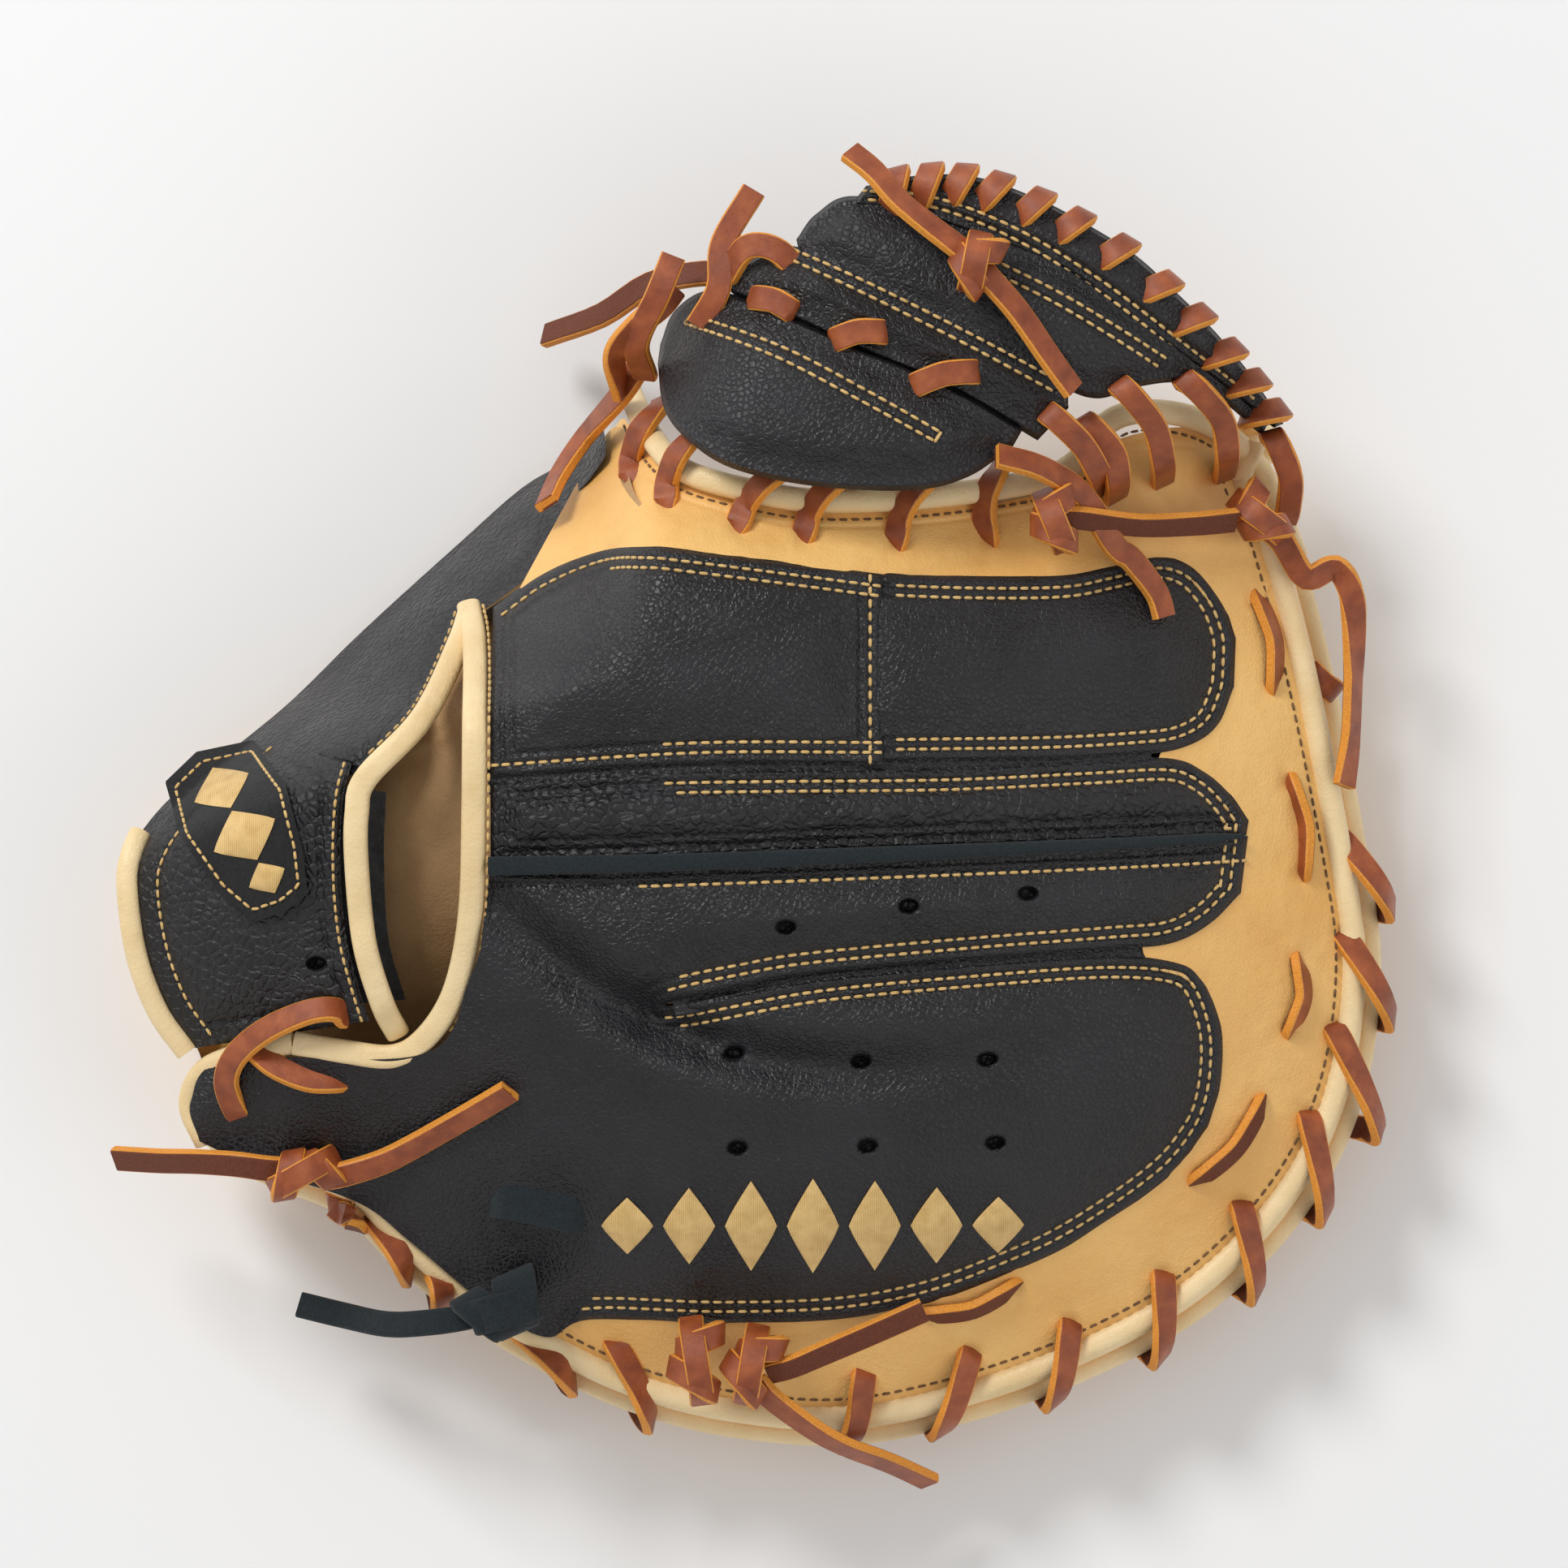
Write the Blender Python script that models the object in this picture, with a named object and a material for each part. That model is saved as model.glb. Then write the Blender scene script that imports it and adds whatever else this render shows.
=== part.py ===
"""A left-hander's catcher's mitt lying palm down: back of the hand up, fingers towards +X, web towards +Y."""

import math

import bmesh
import bpy
import numpy as np

MM = 0.001

# Driving dimensions, in millimetres.
CELL = 16.0  # side of the facets of the draped leather
REST_CELL = 10.0  # the same where the mitt rests on the floor
THUMB_CELL = 8.0  # and on the steep thumb side
LEATHER = 2.6  # shell leather
LINER = 1.5  # glove leather that faces the hand
PAD = 11.0  # felt between the palm and the liner
LAYER_GAP = 2.8  # clear space between layers
ROLL = 3.1  # radius of the rolled binding
LACE = 2.1  # radius of a rawhide lace
LACE_LIFT = 6.6  # a lace's centre over the back where it crosses a binding
CROWN = (-37.0, 27.0)  # plan position of the highest point of the back
CROWN_HEIGHT = 105.0
MIDDLE_OF_PLAN = (-5.0, -7.25)  # what the plan points below are centred on once built
PALM_HEIGHT = 60.0  # underside of the palm leather below the crown
BACK_POWER = 1.7  # how the back falls from the crown to the rim
PALM_POWER = 1.9
EDGE_INSET = 7.2  # from the silhouette to the cut edge of the leather
ROLL_INSET = 3.6  # and to the middle of the rolled binding
PAD_INSET = 27.0  # and to the edge of the felt
FOLD = (0.755, 0.656)  # plan direction of the break line, heel to web
FOLD_OFFSET = -50.0  # the break line's distance from the origin, towards the fingers
FOLD_GAP = 4.2  # clear space on each side of the break line

# The silhouette seen from above, clockwise from the fingertips.
RIM = [
    (119, 81), (127, 63), (135, 33), (141, 3), (146, -27), (148, -47), (145, -73), (137, -95),
    (123, -115), (103, -133), (77, -147), (47, -158), (17, -164), (-13, -162), (-37, -156),
    (-57, -147), (-77, -135), (-97, -119), (-109, -107), (-133, -97), (-147, -85), (-149, -73),
    (-157, -60), (-163, -45), (-165, -19), (-161, -15), (-153, -4), (-127, 17), (-107, 37),
    (-81, 61), (-65, 75), (-49, 85), (-33, 107), (-13, 127), (7, 139), (19, 147), (33, 150),
    (47, 151), (63, 145), (75, 140), (87, 133), (97, 123), (107, 113), (117, 103), (125, 87),
]
# Height of the silhouette's edge and of the palm below it, by compass angle about the crown.
EDGE_HEIGHT = [
    (-180, 15), (-172, 32), (-160, 60), (-138, 50), (-118, 42), (-100, 34), (-74, 28), (-20, 27),
    (10, 29), (19, 36), (28, 66), (36, 80), (50, 88), (65, 90), (76, 84), (87, 62), (100, 28),
    (115, 14), (150, 13), (180, 15),
]
PALM_FLOOR = [(-180, 0), (-165, 5), (-150, 9), (-135, 4), (-122, 0), (15, 0), (30, 30), (80, 30), (100, 0), (180, 0)]
PALM_REACH = [(-180, 0.74), (-150, 0.9), (-120, 0.84), (20, 0.82), (60, 0.84), (100, 0.74), (180, 0.74)]
EDGE_LIFT = [
    (-180, 0), (-165, 8), (-140, 24), (-120, 31), (-104, 25), (-90, 20), (0, 19), (18, 13), (60, 10), (100, 0), (180, 0),
]

# Edge of the index finger's side, from the thumb end to the fingertip.
CROTCH = [
    (-38, 99), (-33, 86), (-24, 76), (-5, 71), (10, 69), (34, 70), (60, 74), (72, 79), (80, 86), (98, 90), (112, 84),
]


def smooth(points, per_span=4, closed=False):
    """Points on a Catmull-Rom curve through the given ones."""
    p = np.array(points, float)
    if closed:
        p = np.concatenate([p[-1:], p, p[:2]])
    else:
        p = np.concatenate([2 * p[:1] - p[1:2], p, 2 * p[-1:] - p[-2:-1]])
    t = np.linspace(0, 1, per_span, endpoint=False)[:, None]
    spans = []
    for a, b, c, d in zip(p[:-3], p[1:-2], p[2:-1], p[3:]):
        spans.append(0.5 * (2 * b + (c - a) * t + (2 * a - 5 * b + 4 * c - d) * t**2 + (3 * b - a - 3 * c + d) * t**3))
    if not closed:
        spans.append(p[-2:-1])
    return np.concatenate(spans)


def spaced(line, count):
    """The line again, as count points evenly along it."""
    step = np.linalg.norm(np.diff(line, axis=0), axis=1)
    along = np.concatenate([[0], np.cumsum(step)])
    at = np.linspace(0, along[-1], count)
    return np.stack([np.interp(at, along, line[:, k]) for k in range(line.shape[1])], axis=1)


ANGLES = np.arange(-180, 180, 0.5)


def around(values, blur):
    """A table over ANGLES from values at a few angles, rounded off over blur degrees."""
    at, value = np.array(values, float).T
    table = np.interp(ANGLES, at, value, period=360)
    reach = int(3 * blur / 0.5)
    weight = np.exp(-0.5 * (np.arange(-reach, reach + 1) * 0.5 / blur) ** 2)
    wrapped = np.concatenate([table[-reach:], table, table[:reach]])
    return np.convolve(wrapped, weight / weight.sum(), "valid")


def polar(x, y):
    dx = np.asarray(x, float) - CROWN[0]
    dy = np.asarray(y, float) - CROWN[1]
    return np.degrees(np.arctan2(dy, dx)), np.hypot(dx, dy)


def rim_table():
    line = smooth(RIM, 6, closed=True)
    angle, distance = polar(line[:, 0], line[:, 1])
    order = np.argsort(angle)
    return around(np.stack([angle[order], distance[order]], axis=1), 1.0)


REACH = rim_table()
EDGE_TABLE = around(EDGE_HEIGHT, 4)
FLOOR_TABLE = around(PALM_FLOOR, 5)
PALM_REACH_TABLE = around(PALM_REACH, 6)
LIFT_TABLE = around(EDGE_LIFT, 6)
CROTCH_LINE = smooth(CROTCH, 6)


def look_up(table, angle):
    return np.interp(angle, ANGLES, table, period=360)


def from_crown(x, y):
    """Angle about the crown, and the distance as a share of the way to the silhouette."""
    angle, distance = polar(x, y)
    return angle, distance / look_up(REACH, angle)


def to_crotch(x, y):
    """Distance to the edge of the index finger's side."""
    x, y = np.broadcast_arrays(np.asarray(x, float), np.asarray(y, float))
    gap = np.hypot(x[..., None] - CROTCH_LINE[:, 0], y[..., None] - CROTCH_LINE[:, 1])
    return gap.min(axis=-1)


def ease(value, low, high):
    t = np.clip((value - low) / (high - low), 0, 1)
    return t * t * (3 - 2 * t)


def arch(x, y):
    """Height of the arch that the back and the web follow."""
    angle, share = from_crown(x, y)
    edge = look_up(EDGE_TABLE, angle)
    return edge + (CROWN_HEIGHT - edge) * (1 - np.clip(share, 0, 1.15) ** BACK_POWER)


def back(x, y):
    """Height of the outer face of the back: the arch, falling towards the index finger's side edge."""
    return arch(x, y) - 16 * (1 - ease(to_crotch(x, y), 2, 26))


def palm(x, y):
    """Height of the palm's outer face, flattened where the mitt rests."""
    angle, share = from_crown(x, y)
    floor = look_up(FLOOR_TABLE, angle)
    reach = look_up(PALM_REACH_TABLE, angle)
    hollow = np.maximum(floor + (PALM_HEIGHT - floor) * (1 - (share / reach) ** PALM_POWER), floor)
    lift = look_up(LIFT_TABLE, angle) * ease(share, 0.915, 0.965)
    ramp = 1 - ease(to_crotch(x, y), 2, 34)
    height = hollow + lift
    return height + np.maximum(back(x, y) - 13 - height, 0) * ramp


def lean(surface, x, y):
    """How much longer a vertical step is than the same step along the surface's normal."""
    dx = (surface(x + 1, y) - surface(x - 1, y)) / 2
    dy = (surface(x, y + 1) - surface(x, y - 1)) / 2
    return np.minimum(np.sqrt(1 + dx * dx + dy * dy), 2.6)


def under_back(depth):
    return lambda x, y: back(x, y) - depth * lean(back, x, y)


def over_palm(height):
    return lambda x, y: palm(x, y) + height * lean(palm, x, y)


def under_arch(depth):
    return lambda x, y: arch(x, y) - depth * lean(arch, x, y)


def inside(points, inset):
    """The points moved towards the crown."""
    p = np.array(points, float)
    away = p - CROWN
    distance = np.linalg.norm(away, axis=1, keepdims=True)
    return CROWN + away * (1 - inset / distance)


def material(name, colour, roughness):
    m = bpy.data.materials.get(name)
    if m:
        return m
    m = bpy.data.materials.new(name)
    m.use_nodes = True
    shader = m.node_tree.nodes["Principled BSDF"]
    shader.inputs["Base Color"].default_value = (*colour, 1)
    shader.inputs["Roughness"].default_value = roughness
    return m


def black():
    return material("black_leather", (0.022, 0.022, 0.026), 0.5)


def tan():
    return material("tan_leather", (0.80, 0.53, 0.24), 0.5)


def cream():
    return material("cream_binding", (0.83, 0.66, 0.40), 0.5)


def rawhide():
    return material("rawhide_lace", (0.32, 0.075, 0.03), 0.45)


def suede():
    return material("black_suede", (0.012, 0.018, 0.02), 0.9)


def felt():
    return material("wool_felt", (0.55, 0.52, 0.46), 0.95)


def gold():
    return material("gold_thread", (0.76, 0.55, 0.22), 0.5)


def put(obj, colour):
    obj.data.materials.append(colour)
    MITT.objects.link(obj)
    return obj


def draped(name, outline, top, bottom, colour, cell=CELL):
    """A closed layer over a plan outline: cut into facets on a square grid, then raised to two heights."""
    bm = bmesh.new()
    bm.faces.new([bm.verts.new((x, y, 0)) for x, y in outline])
    low = np.min(outline, axis=0)
    high = np.max(outline, axis=0)
    for axis in (0, 1):
        normal = (1, 0, 0) if axis == 0 else (0, 1, 0)
        for k in range(math.ceil(low[axis] / cell), math.floor(high[axis] / cell) + 1):
            point = tuple(k * cell * n for n in normal)
            geometry = bm.verts[:] + bm.edges[:] + bm.faces[:]
            bmesh.ops.bisect_plane(bm, geom=geometry, dist=1e-4, plane_co=point, plane_no=normal)
    bmesh.ops.dissolve_degenerate(bm, dist=0.05, edges=bm.edges[:])
    bmesh.ops.triangulate(bm, faces=bm.faces[:])
    lower = bm.verts[:]
    made = bmesh.ops.extrude_face_region(bm, geom=bm.faces[:], use_keep_orig=True)["geom"]
    upper = [v for v in made if isinstance(v, bmesh.types.BMVert)]
    for group, height in ((lower, bottom), (upper, top)):
        at = np.array([v.co[:2] for v in group])
        z = height(at[:, 0], at[:, 1])
        for v, value in zip(group, z):
            v.co = (v.co.x * MM, v.co.y * MM, float(value) * MM)
    bmesh.ops.recalc_face_normals(bm, faces=bm.faces[:])
    mesh = bpy.data.meshes.new(name)
    bm.to_mesh(mesh)
    bm.free()
    return put(bpy.data.objects.new(name, mesh), colour)


def tube(name, points, radius, colour, sides=2):
    """A round cord through the points, in millimetres."""
    curve = bpy.data.curves.new(name, "CURVE")
    curve.dimensions = "3D"
    curve.bevel_depth = radius * MM
    curve.bevel_resolution = sides
    curve.use_fill_caps = True
    curve.twist_mode = "MINIMUM"
    line = curve.splines.new("POLY")
    line.points.add(len(points) - 1)
    for point, at in zip(line.points, points):
        point.co = (*(np.array(at) * MM), 1)
    return put(bpy.data.objects.new(name, curve), colour)


def laid(points, lift, surface=None):
    """Plan points raised to lift above the back."""
    p = np.array(points, float)
    z = (surface or back)(p[:, 0], p[:, 1]) + lift
    return np.column_stack([p, z])


def knot(name, centre, size, turn, colour):
    """A pulled-tight knot's outer shape."""
    bpy.ops.mesh.primitive_uv_sphere_add(segments=12, ring_count=7, radius=1)
    obj = bpy.context.object
    for c in list(obj.users_collection):
        c.objects.unlink(obj)
    obj.name = name
    obj.data.name = name
    obj.scale = np.array(size) * MM
    obj.location = np.array(centre) * MM
    obj.rotation_euler = (0, 0, math.radians(turn))
    return put(obj, colour)


def clipped(outline, across, limit):
    """The part of a plan outline that lies at least limit along the direction across."""
    kept = []
    p = np.array(outline, float)
    value = p @ np.array(across, float) - limit
    for a, b, va, vb in zip(p, np.roll(p, -1, axis=0), value, np.roll(value, -1)):
        if va >= 0:
            kept.append(a)
        if va * vb < 0:
            kept.append(a + (b - a) * va / (va - vb))
    return kept


def fold_side(outline, side, gap):
    """The part of a plan outline on one side of the break line, +1 towards the fingers."""
    return clipped(outline, (side * FOLD[1], -side * FOLD[0]), side * FOLD_OFFSET + gap)


# Plan outlines of the back's panels, in millimetres.
INDEX_NEAR = [(-71, 43.5), (-45, 57.5), (-21, 56.8), (21.4, 51.6), (21.4, 5), (-21, 5), (-70.5, 1.5)]
INDEX_TIP = [
    (22.8, 51.6), (66.8, 51.2), (86.8, 55.8), (99, 54.4), (107.5, 45.5), (111, 29.2), (108.4, 16.2), (100, 9.2),
    (86.8, 7.4), (22.8, 5),
]
MIDDLE = [
    (-70, 0), (-27, 2.8), (22.8, 3.2), (66.8, 4.8), (94.8, 6), (106.8, 0), (114, -8.8), (114.6, -12.4), (46.8, -15.8),
    (-13, -18.4), (-71, -20),
]
RING = [
    (-71, -21.6), (-13, -20), (46.8, -17.4), (114.8, -14), (116, -18), (112.8, -26.8), (104.8, -34.4), (94.8, -39.2),
    (46.8, -42.4), (6.8, -46), (-21, -50.4), (-29, -52.6), (-53, -42.8), (-71.6, -32.8),
]
LITTLE_FRONT = [
    (-72.5, -34.8), (-53, -45), (-30, -54.8), (6.8, -48.2), (46.8, -44.6), (96.8, -43.5), (104.8, -50.2), (108.4, -66.8),
    (106.4, -82.8), (94.8, -96.8), (72.8, -112.4), (35.6, -127.6), (13.4, -131.6), (-16, -132.4), (-51.5, -131.4),
]
LITTLE_WRIST = [(-140.4, -83), (-140.8, -78.8), (-134, -71.8), (-120, -68), (-96, -72.4), (-84, -68), (-76.4, -51.6)]
BORDER_INNER = [
    (-50, -133.4), (-16, -133.8), (13.4, -133), (36.2, -129), (73.6, -113.6), (95.9, -97.9), (107.6, -83.3),
    (109.8, -66.8), (106, -49.6), (98.5, -41.6), (105.6, -35.7), (114, -27.6), (117.4, -18.2), (116, -8.2), (108, 1.2),
    (101.5, 7.6), (109.8, 15.4), (112.4, 29.2), (108.8, 46.2), (101.4, 56),
]
INDEX_WALL = [
    (-67, 47.4), (-46, 59.2), (-21, 58.4), (22, 53.2), (66.8, 52.8), (86.8, 57.4), (98.5, 56.4), (104, 66), (107.5, 78),
    (98, 84), (83, 80.6), (75, 74.2), (61, 69), (34, 65), (10, 64), (-7, 66), (-28, 73), (-37.4, 85), (-41, 92),
    (-44, 86), (-52.8, 57.6),
]
THUMB_BACK = [
    (-80.5, 39), (-89.2, 19.2), (-100, 7), (-125, 13), (-105.4, 31.6), (-79.6, 54.6), (-64, 67.6), (-51, 77), (-48.8, 79.4),
    (-58, 56),
]
STRAP = [
    (-105.4, 5.6), (-108, -6.8), (-108.4, -18.8), (-106.4, -38.6), (-101.6, -55.4), (-109.2, -59.6), (-125.2, -59.2),
    (-134, -61.6), (-143, -63.4), (-150.4, -54.4), (-155.4, -41), (-157.6, -25.2), (-155.6, -16.6), (-149, -6.6),
    (-128.6, 11.8),
]
FLEECE = [(-114, -18), (-113, -28), (-111, -37), (-107, -51), (-125, -54), (-138, -54), (-144, -41), (-144, -28), (-134, -21)]
PATCH = [(-150, -17), (-131, 4), (-121, -2), (-118, -30), (-137, -34)]
EMBLEM = [(-40, -104), (-18, -99), (20, -98), (57, -99), (58, -106), (20, -113), (-18, -112)]

# Plan outlines of the web's strips.
WEB_1 = [
    (-29, 93), (-31, 103), (-27, 115), (-19, 120), (-1.5, 115), (18, 105.5), (39, 97), (58.5, 86), (55, 81.5), (43, 78),
    (31, 76), (7, 76), (-13, 79), (-23, 84),
]
WEB_2 = [(-14, 123), (-8, 127), (1, 131), (33, 116), (55, 105), (69, 96.5), (65, 88.5), (60.5, 87), (41, 98.6), (20, 107.5), (0.5, 116.9)]
WEB_3 = [
    (3, 132.5), (9, 139), (18, 143), (43, 136), (67, 127), (87, 113.5), (107, 99), (117, 91.5), (115, 90), (103, 98),
    (87, 99.5), (72, 97), (55, 107), (33, 117.5),
]
WEB_EDGE = [
    (19.5, 145), (25, 146.8), (33, 147.6), (47, 147.5), (62, 142), (73, 136.5), (85.4, 129), (95, 120.5), (105, 111),
    (114.4, 100.6), (119, 92), (107, 101), (87, 115.5), (67, 129), (43, 138),
]

# Runs of binding and lace, as plan points.
OPENING_RIGHT = [(-76, 41), (-75.2, 21.2), (-75.6, -6.8), (-76.8, -32), (-81, -50.8), (-88, -62.4), (-94, -66.6), (-108, -64.6), (-118, -63.4)]
OPENING_LEFT = [(-79.4, 35.6), (-88.4, 16), (-102.6, 1.4), (-104.4, -6.8), (-104.6, -18.8), (-102.6, -38.6), (-97.6, -55)]
STRAP_EDGE = [(-131, 15), (-152.4, -4.6), (-159.4, -14.8), (-161.4, -25.2), (-159.2, -42), (-154, -56), (-147, -66)]
HEEL_EDGE = [(-122, -63.6), (-134, -67.4), (-142.6, -71.4), (-145.6, -79), (-142.6, -88.4)]
STRAP_LACE = [(-133, -82), (-136, -74), (-129, -65), (-119, -57), (-112, -52)]
BORDER_LACE = [(116.5, 44), (119.5, 35), (121, 24), (125, 0), (127, -11), (128, -22), (127, -44), (126.5, -53), (125, -61), (118, -79), (111, -89), (102, -98)]
CROTCH_LACE = [
    (-36, 74), (-28, 78), (-33, 71), (-18, 63), (-5, 72.5), (-3, 62), (7, 59), (9, 71), (18, 60),
    (28, 59), (33, 72), (41, 60), (50, 60), (54, 74),
]
WEB_LACE = [(-7, 123), (1, 112), (14, 114), (21, 102), (33, 105.5), (43, 93.5)]
WEB_TO_FINGERS = [(67, 93), (76, 79), (80, 92), (85, 76), (88, 97), (95, 78), (101, 97), (109, 81)]
WEB_LOOPS = 6
RIM_STITCHES = 14

# Free ends of the laces: plan points and how high each lies over the back.
FREE_ENDS = {
    "web_lace_end_upper": ([(42.5, 130.5), (29, 141), (22, 149), (16, 154)], [7, 8, 9, 10]),
    "web_lace_end_lower": ([(50, 123), (57, 115), (65, 103.5), (70.5, 96)], [7, 6, 6, 7]),
    "thumb_lace_end_long": ([(-20, 125), (-33, 123), (-45, 116), (-59, 111.5)], [3, 6, 11, 12]),
    "thumb_lace_end_low": ([(-40, 96), (-49, 86), (-55, 77), (-58.5, 69)], [10, 15, 18, 20]),
    "index_lace_end_long": ([(73, 65), (87, 63.5), (101, 64), (111, 65)], [8, 7, 7, 7.5]),
    "index_lace_end_short": ([(81, 58.4), (85, 55.4), (89, 50.6), (92, 46), (93.4, 41)], [6, 5.6, 5, 4.6, 4.6]),
    "tip_lace_end": (
        [(123, 60), (129, 51), (136, 53.6), (140, 48), (141, 38), (140.6, 21), (140, 10), (138.5, -0.5)],
        [9, 10, 14, 15, 13, 9, 8, 8],
    ),
    "heel_lace_end_left": ([(-127.5, -94.5), (-135, -93.5), (-145, -93), (-154, -93), (-165, -92.6)], [10, 10, 7, 3, 0]),
    "heel_lace_end_right": ([(-108.5, -96), (-99, -93), (-91, -89), (-77, -81), (-67, -75)], [9, 7, 5.4, 5, 6]),
    "low_lace_end_upper": ([(2, -143.4), (9, -140.5), (22, -135), (34.5, -129.5)], [11, 9, 6, 4.6]),
    "low_lace_end_lower": ([(-3, -151.5), (7, -159), (15, -163.5), (26, -168), (36, -173)], [14, 15, 14, 8, 2]),
    "little_strap_end": ([(-79, -131.4), (-88, -132.8), (-98, -133.4), (-109, -131.5), (-120, -129)], [15, 15, 12, 6, 3]),
}
KNOTS = {
    "web_knot": ((46.5, 127), (5, 4.4, 4), 50, 7.6),
    "index_knot": ((65, 64.6), (6, 7, 4.2), 0, 8.6),
    "tip_knot": ((117.5, 66), (5.4, 6, 4.2), 30, 9),
    "heel_knot": ((-118, -95.5), (7.8, 5.2, 4.4), 10, 10),
    "low_knot_near": ((-21.5, -143), (6, 8, 4.2), 0, 12),
    "low_knot_far": ((-6, -143.4), (6, 7, 4.2), -20, 12),
}


def silhouette(inset):
    """The rim moved inwards, as angles about the crown and plan points in that order."""
    rim = smooth(RIM, 2, closed=True)
    angle = polar(rim[:, 0], rim[:, 1])[0]
    order = np.argsort(angle)
    return angle[order], inside(rim[order], inset)


def rim_part(low, high, inset):
    angle, rim = silhouette(inset)
    return rim[(angle > low) & (angle < high)]


def shell_outline(inset):
    """The hand shell's plan outline: the rim, closed along the index finger's side instead of the web."""
    kept = np.concatenate([rim_part(99, 180, inset), rim_part(-180, 19, inset)])
    side = np.array([(-39, 93), (-37.6, 85), (-28, 73), (-7, 66), (10, 64), (34, 65), (61, 69), (75, 74.2), (83, 80.6), (98, 84)])
    side = side - np.array([0, inset - EDGE_INSET])
    return np.concatenate([kept, side[::-1]])


def border_outline():
    rim = rim_part(-100, 18, EDGE_INSET)
    return BORDER_INNER[::-1] + [tuple(p) for p in rim if p[0] > -50.5]


def little_outline():
    rim = [tuple(p) for p in rim_part(-132, -90, EDGE_INSET) if p[0] < -52.5]
    return LITTLE_FRONT + rim[::-1] + LITTLE_WRIST


def build_back():
    skin = (back, under_back(LEATHER))
    draped("index_panel_near", INDEX_NEAR, *skin, black())
    draped("index_panel_tip", INDEX_TIP, *skin, black())
    draped("middle_panel", MIDDLE, *skin, black())
    draped("ring_panel", RING, *skin, black())
    draped("little_finger_panel", little_outline(), *skin, black())
    draped("back_border", border_outline(), *skin, tan())
    draped("index_side_wall", INDEX_WALL, *skin, tan())
    draped("thumb_back", THUMB_BACK, arch, under_arch(LEATHER), black())
    emblem = (lambda x, y: back(x, y) + 1.5, lambda x, y: back(x, y) + 0.6)
    draped("emblem", EMBLEM, *emblem, gold())


def build_strap():
    draped("wrist_strap", STRAP, arch, under_arch(LEATHER + 1), black())
    draped("strap_fleece", FLEECE, under_arch(LEATHER + 3.6), under_arch(LEATHER + 7), suede())
    draped("strap_patch", PATCH, lambda x, y: arch(x, y) + 2.6, lambda x, y: arch(x, y) + 0.8, suede())


def build_palm():
    """The layers between the hand and the ball, each parted at the break line."""
    pad_low = LEATHER + LAYER_GAP

    def thin_at_edge(x, y):
        return ease(1 - from_crown(x, y)[1], 0.07, 0.3) * ease(to_crotch(x, y), 6, 42)

    def pad_top(x, y):
        return over_palm(pad_low)(x, y) + (0.6 + (PAD - 0.6) * thin_at_edge(x, y))

    def liner_at(height):
        return lambda x, y: over_palm(pad_low)(x, y) + (4.2 + PAD * thin_at_edge(x, y)) + height

    for side, word, cell, top in ((1, "fingers", CELL + 4, 90), (-1, "thumb", THUMB_CELL, 60)):
        leather = clipped(fold_side(shell_outline(EDGE_INSET), side, FOLD_GAP), (0, -1), -80.6 if side < 0 else -top)
        draped(f"palm_leather_{word}", leather, over_palm(LEATHER), palm, tan(), min(cell, REST_CELL))
        pad = clipped(fold_side(shell_outline(PAD_INSET), side, FOLD_GAP + 1), (0, -1), -top)
        draped(f"palm_pad_{word}", pad, pad_top, over_palm(pad_low), felt(), cell)
        liner = clipped(fold_side(shell_outline(PAD_INSET - 2), side, FOLD_GAP + 2), (0, -1), -top)
        draped(f"palm_liner_{word}", liner, liner_at(LINER), liner_at(0), tan(), cell)
    wall = (under_back(LEATHER + 1), liner_at(LINER + 1))
    draped("stall_wall_index", [(-45, 2.6), (90, 5.6), (90, 7.6), (-45, 4.6)], *wall, tan())
    draped("stall_wall_middle", [(-45, -20), (100, -15.4), (100, -13.4), (-45, -18)], *wall, tan())
    draped("stall_wall_ring", [(-30, -54), (90, -43), (90, -41), (-30, -52)], *wall, tan())


def build_bindings():
    rim = rim_part(-133, 19, ROLL_INSET)
    leather = rim_part(-133, 19, EDGE_INSET)
    top = back(leather[:, 0], leather[:, 1]) - 1.8
    low = palm(leather[:, 0], leather[:, 1]) + 1.2
    tube("rim_binding_back", np.column_stack([rim, np.maximum(top, low + 2 * ROLL + 0.4)]), ROLL, cream())
    tube("rim_binding_palm", np.column_stack([rim, low]), ROLL, cream())
    side = smooth(CROTCH, 2)
    tube("index_side_binding", laid(side, -0.6), ROLL, cream())
    tube("opening_binding_fingers", laid(smooth(OPENING_RIGHT, 2), 0), 2.2, cream())
    tube("opening_binding_thumb", laid(smooth(OPENING_LEFT, 2), 0, arch), 2.2, cream())
    tube("strap_binding", laid(smooth(STRAP_EDGE, 2), -1, arch), 2.4, cream())
    tube("heel_binding", laid(smooth(HEEL_EDGE, 2), 0), 2.2, cream())


def build_web():
    for name, outline, depth in (("web_strip_1", WEB_1, 5), ("web_strip_2", WEB_2, 5), ("web_strip_3", WEB_3, 4)):
        draped(name, outline, arch, under_arch(depth), black(), cell=11)
    draped("web_edge_strip", WEB_EDGE, arch, under_arch(4), black(), cell=11)
    tube("web_strip_lace", laid(smooth(WEB_LACE, 3), 3.4, arch), LACE, rawhide())
    loops = []
    edge = spaced(smooth([(30, 149.5), (47, 149.6), (63, 144.4), (75, 139), (97, 122.5), (107, 112.5), (117.5, 101)], 5), 2 * WEB_LOOPS)
    for k, (x, y) in enumerate(edge):
        inner = inside([(x, y)], 5)[0]
        outer = inside([(x, y)], -4.4)[0]
        top = (*inner, arch(*inner) + 3.6)
        side = (*outer, arch(*edge[k]) - 1)
        low = (*inner, arch(*inner) - 11)
        loops += [top, side, low] if k % 2 else [low, side, top]
    tube("web_edge_lace", loops, LACE, rawhide())


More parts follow.
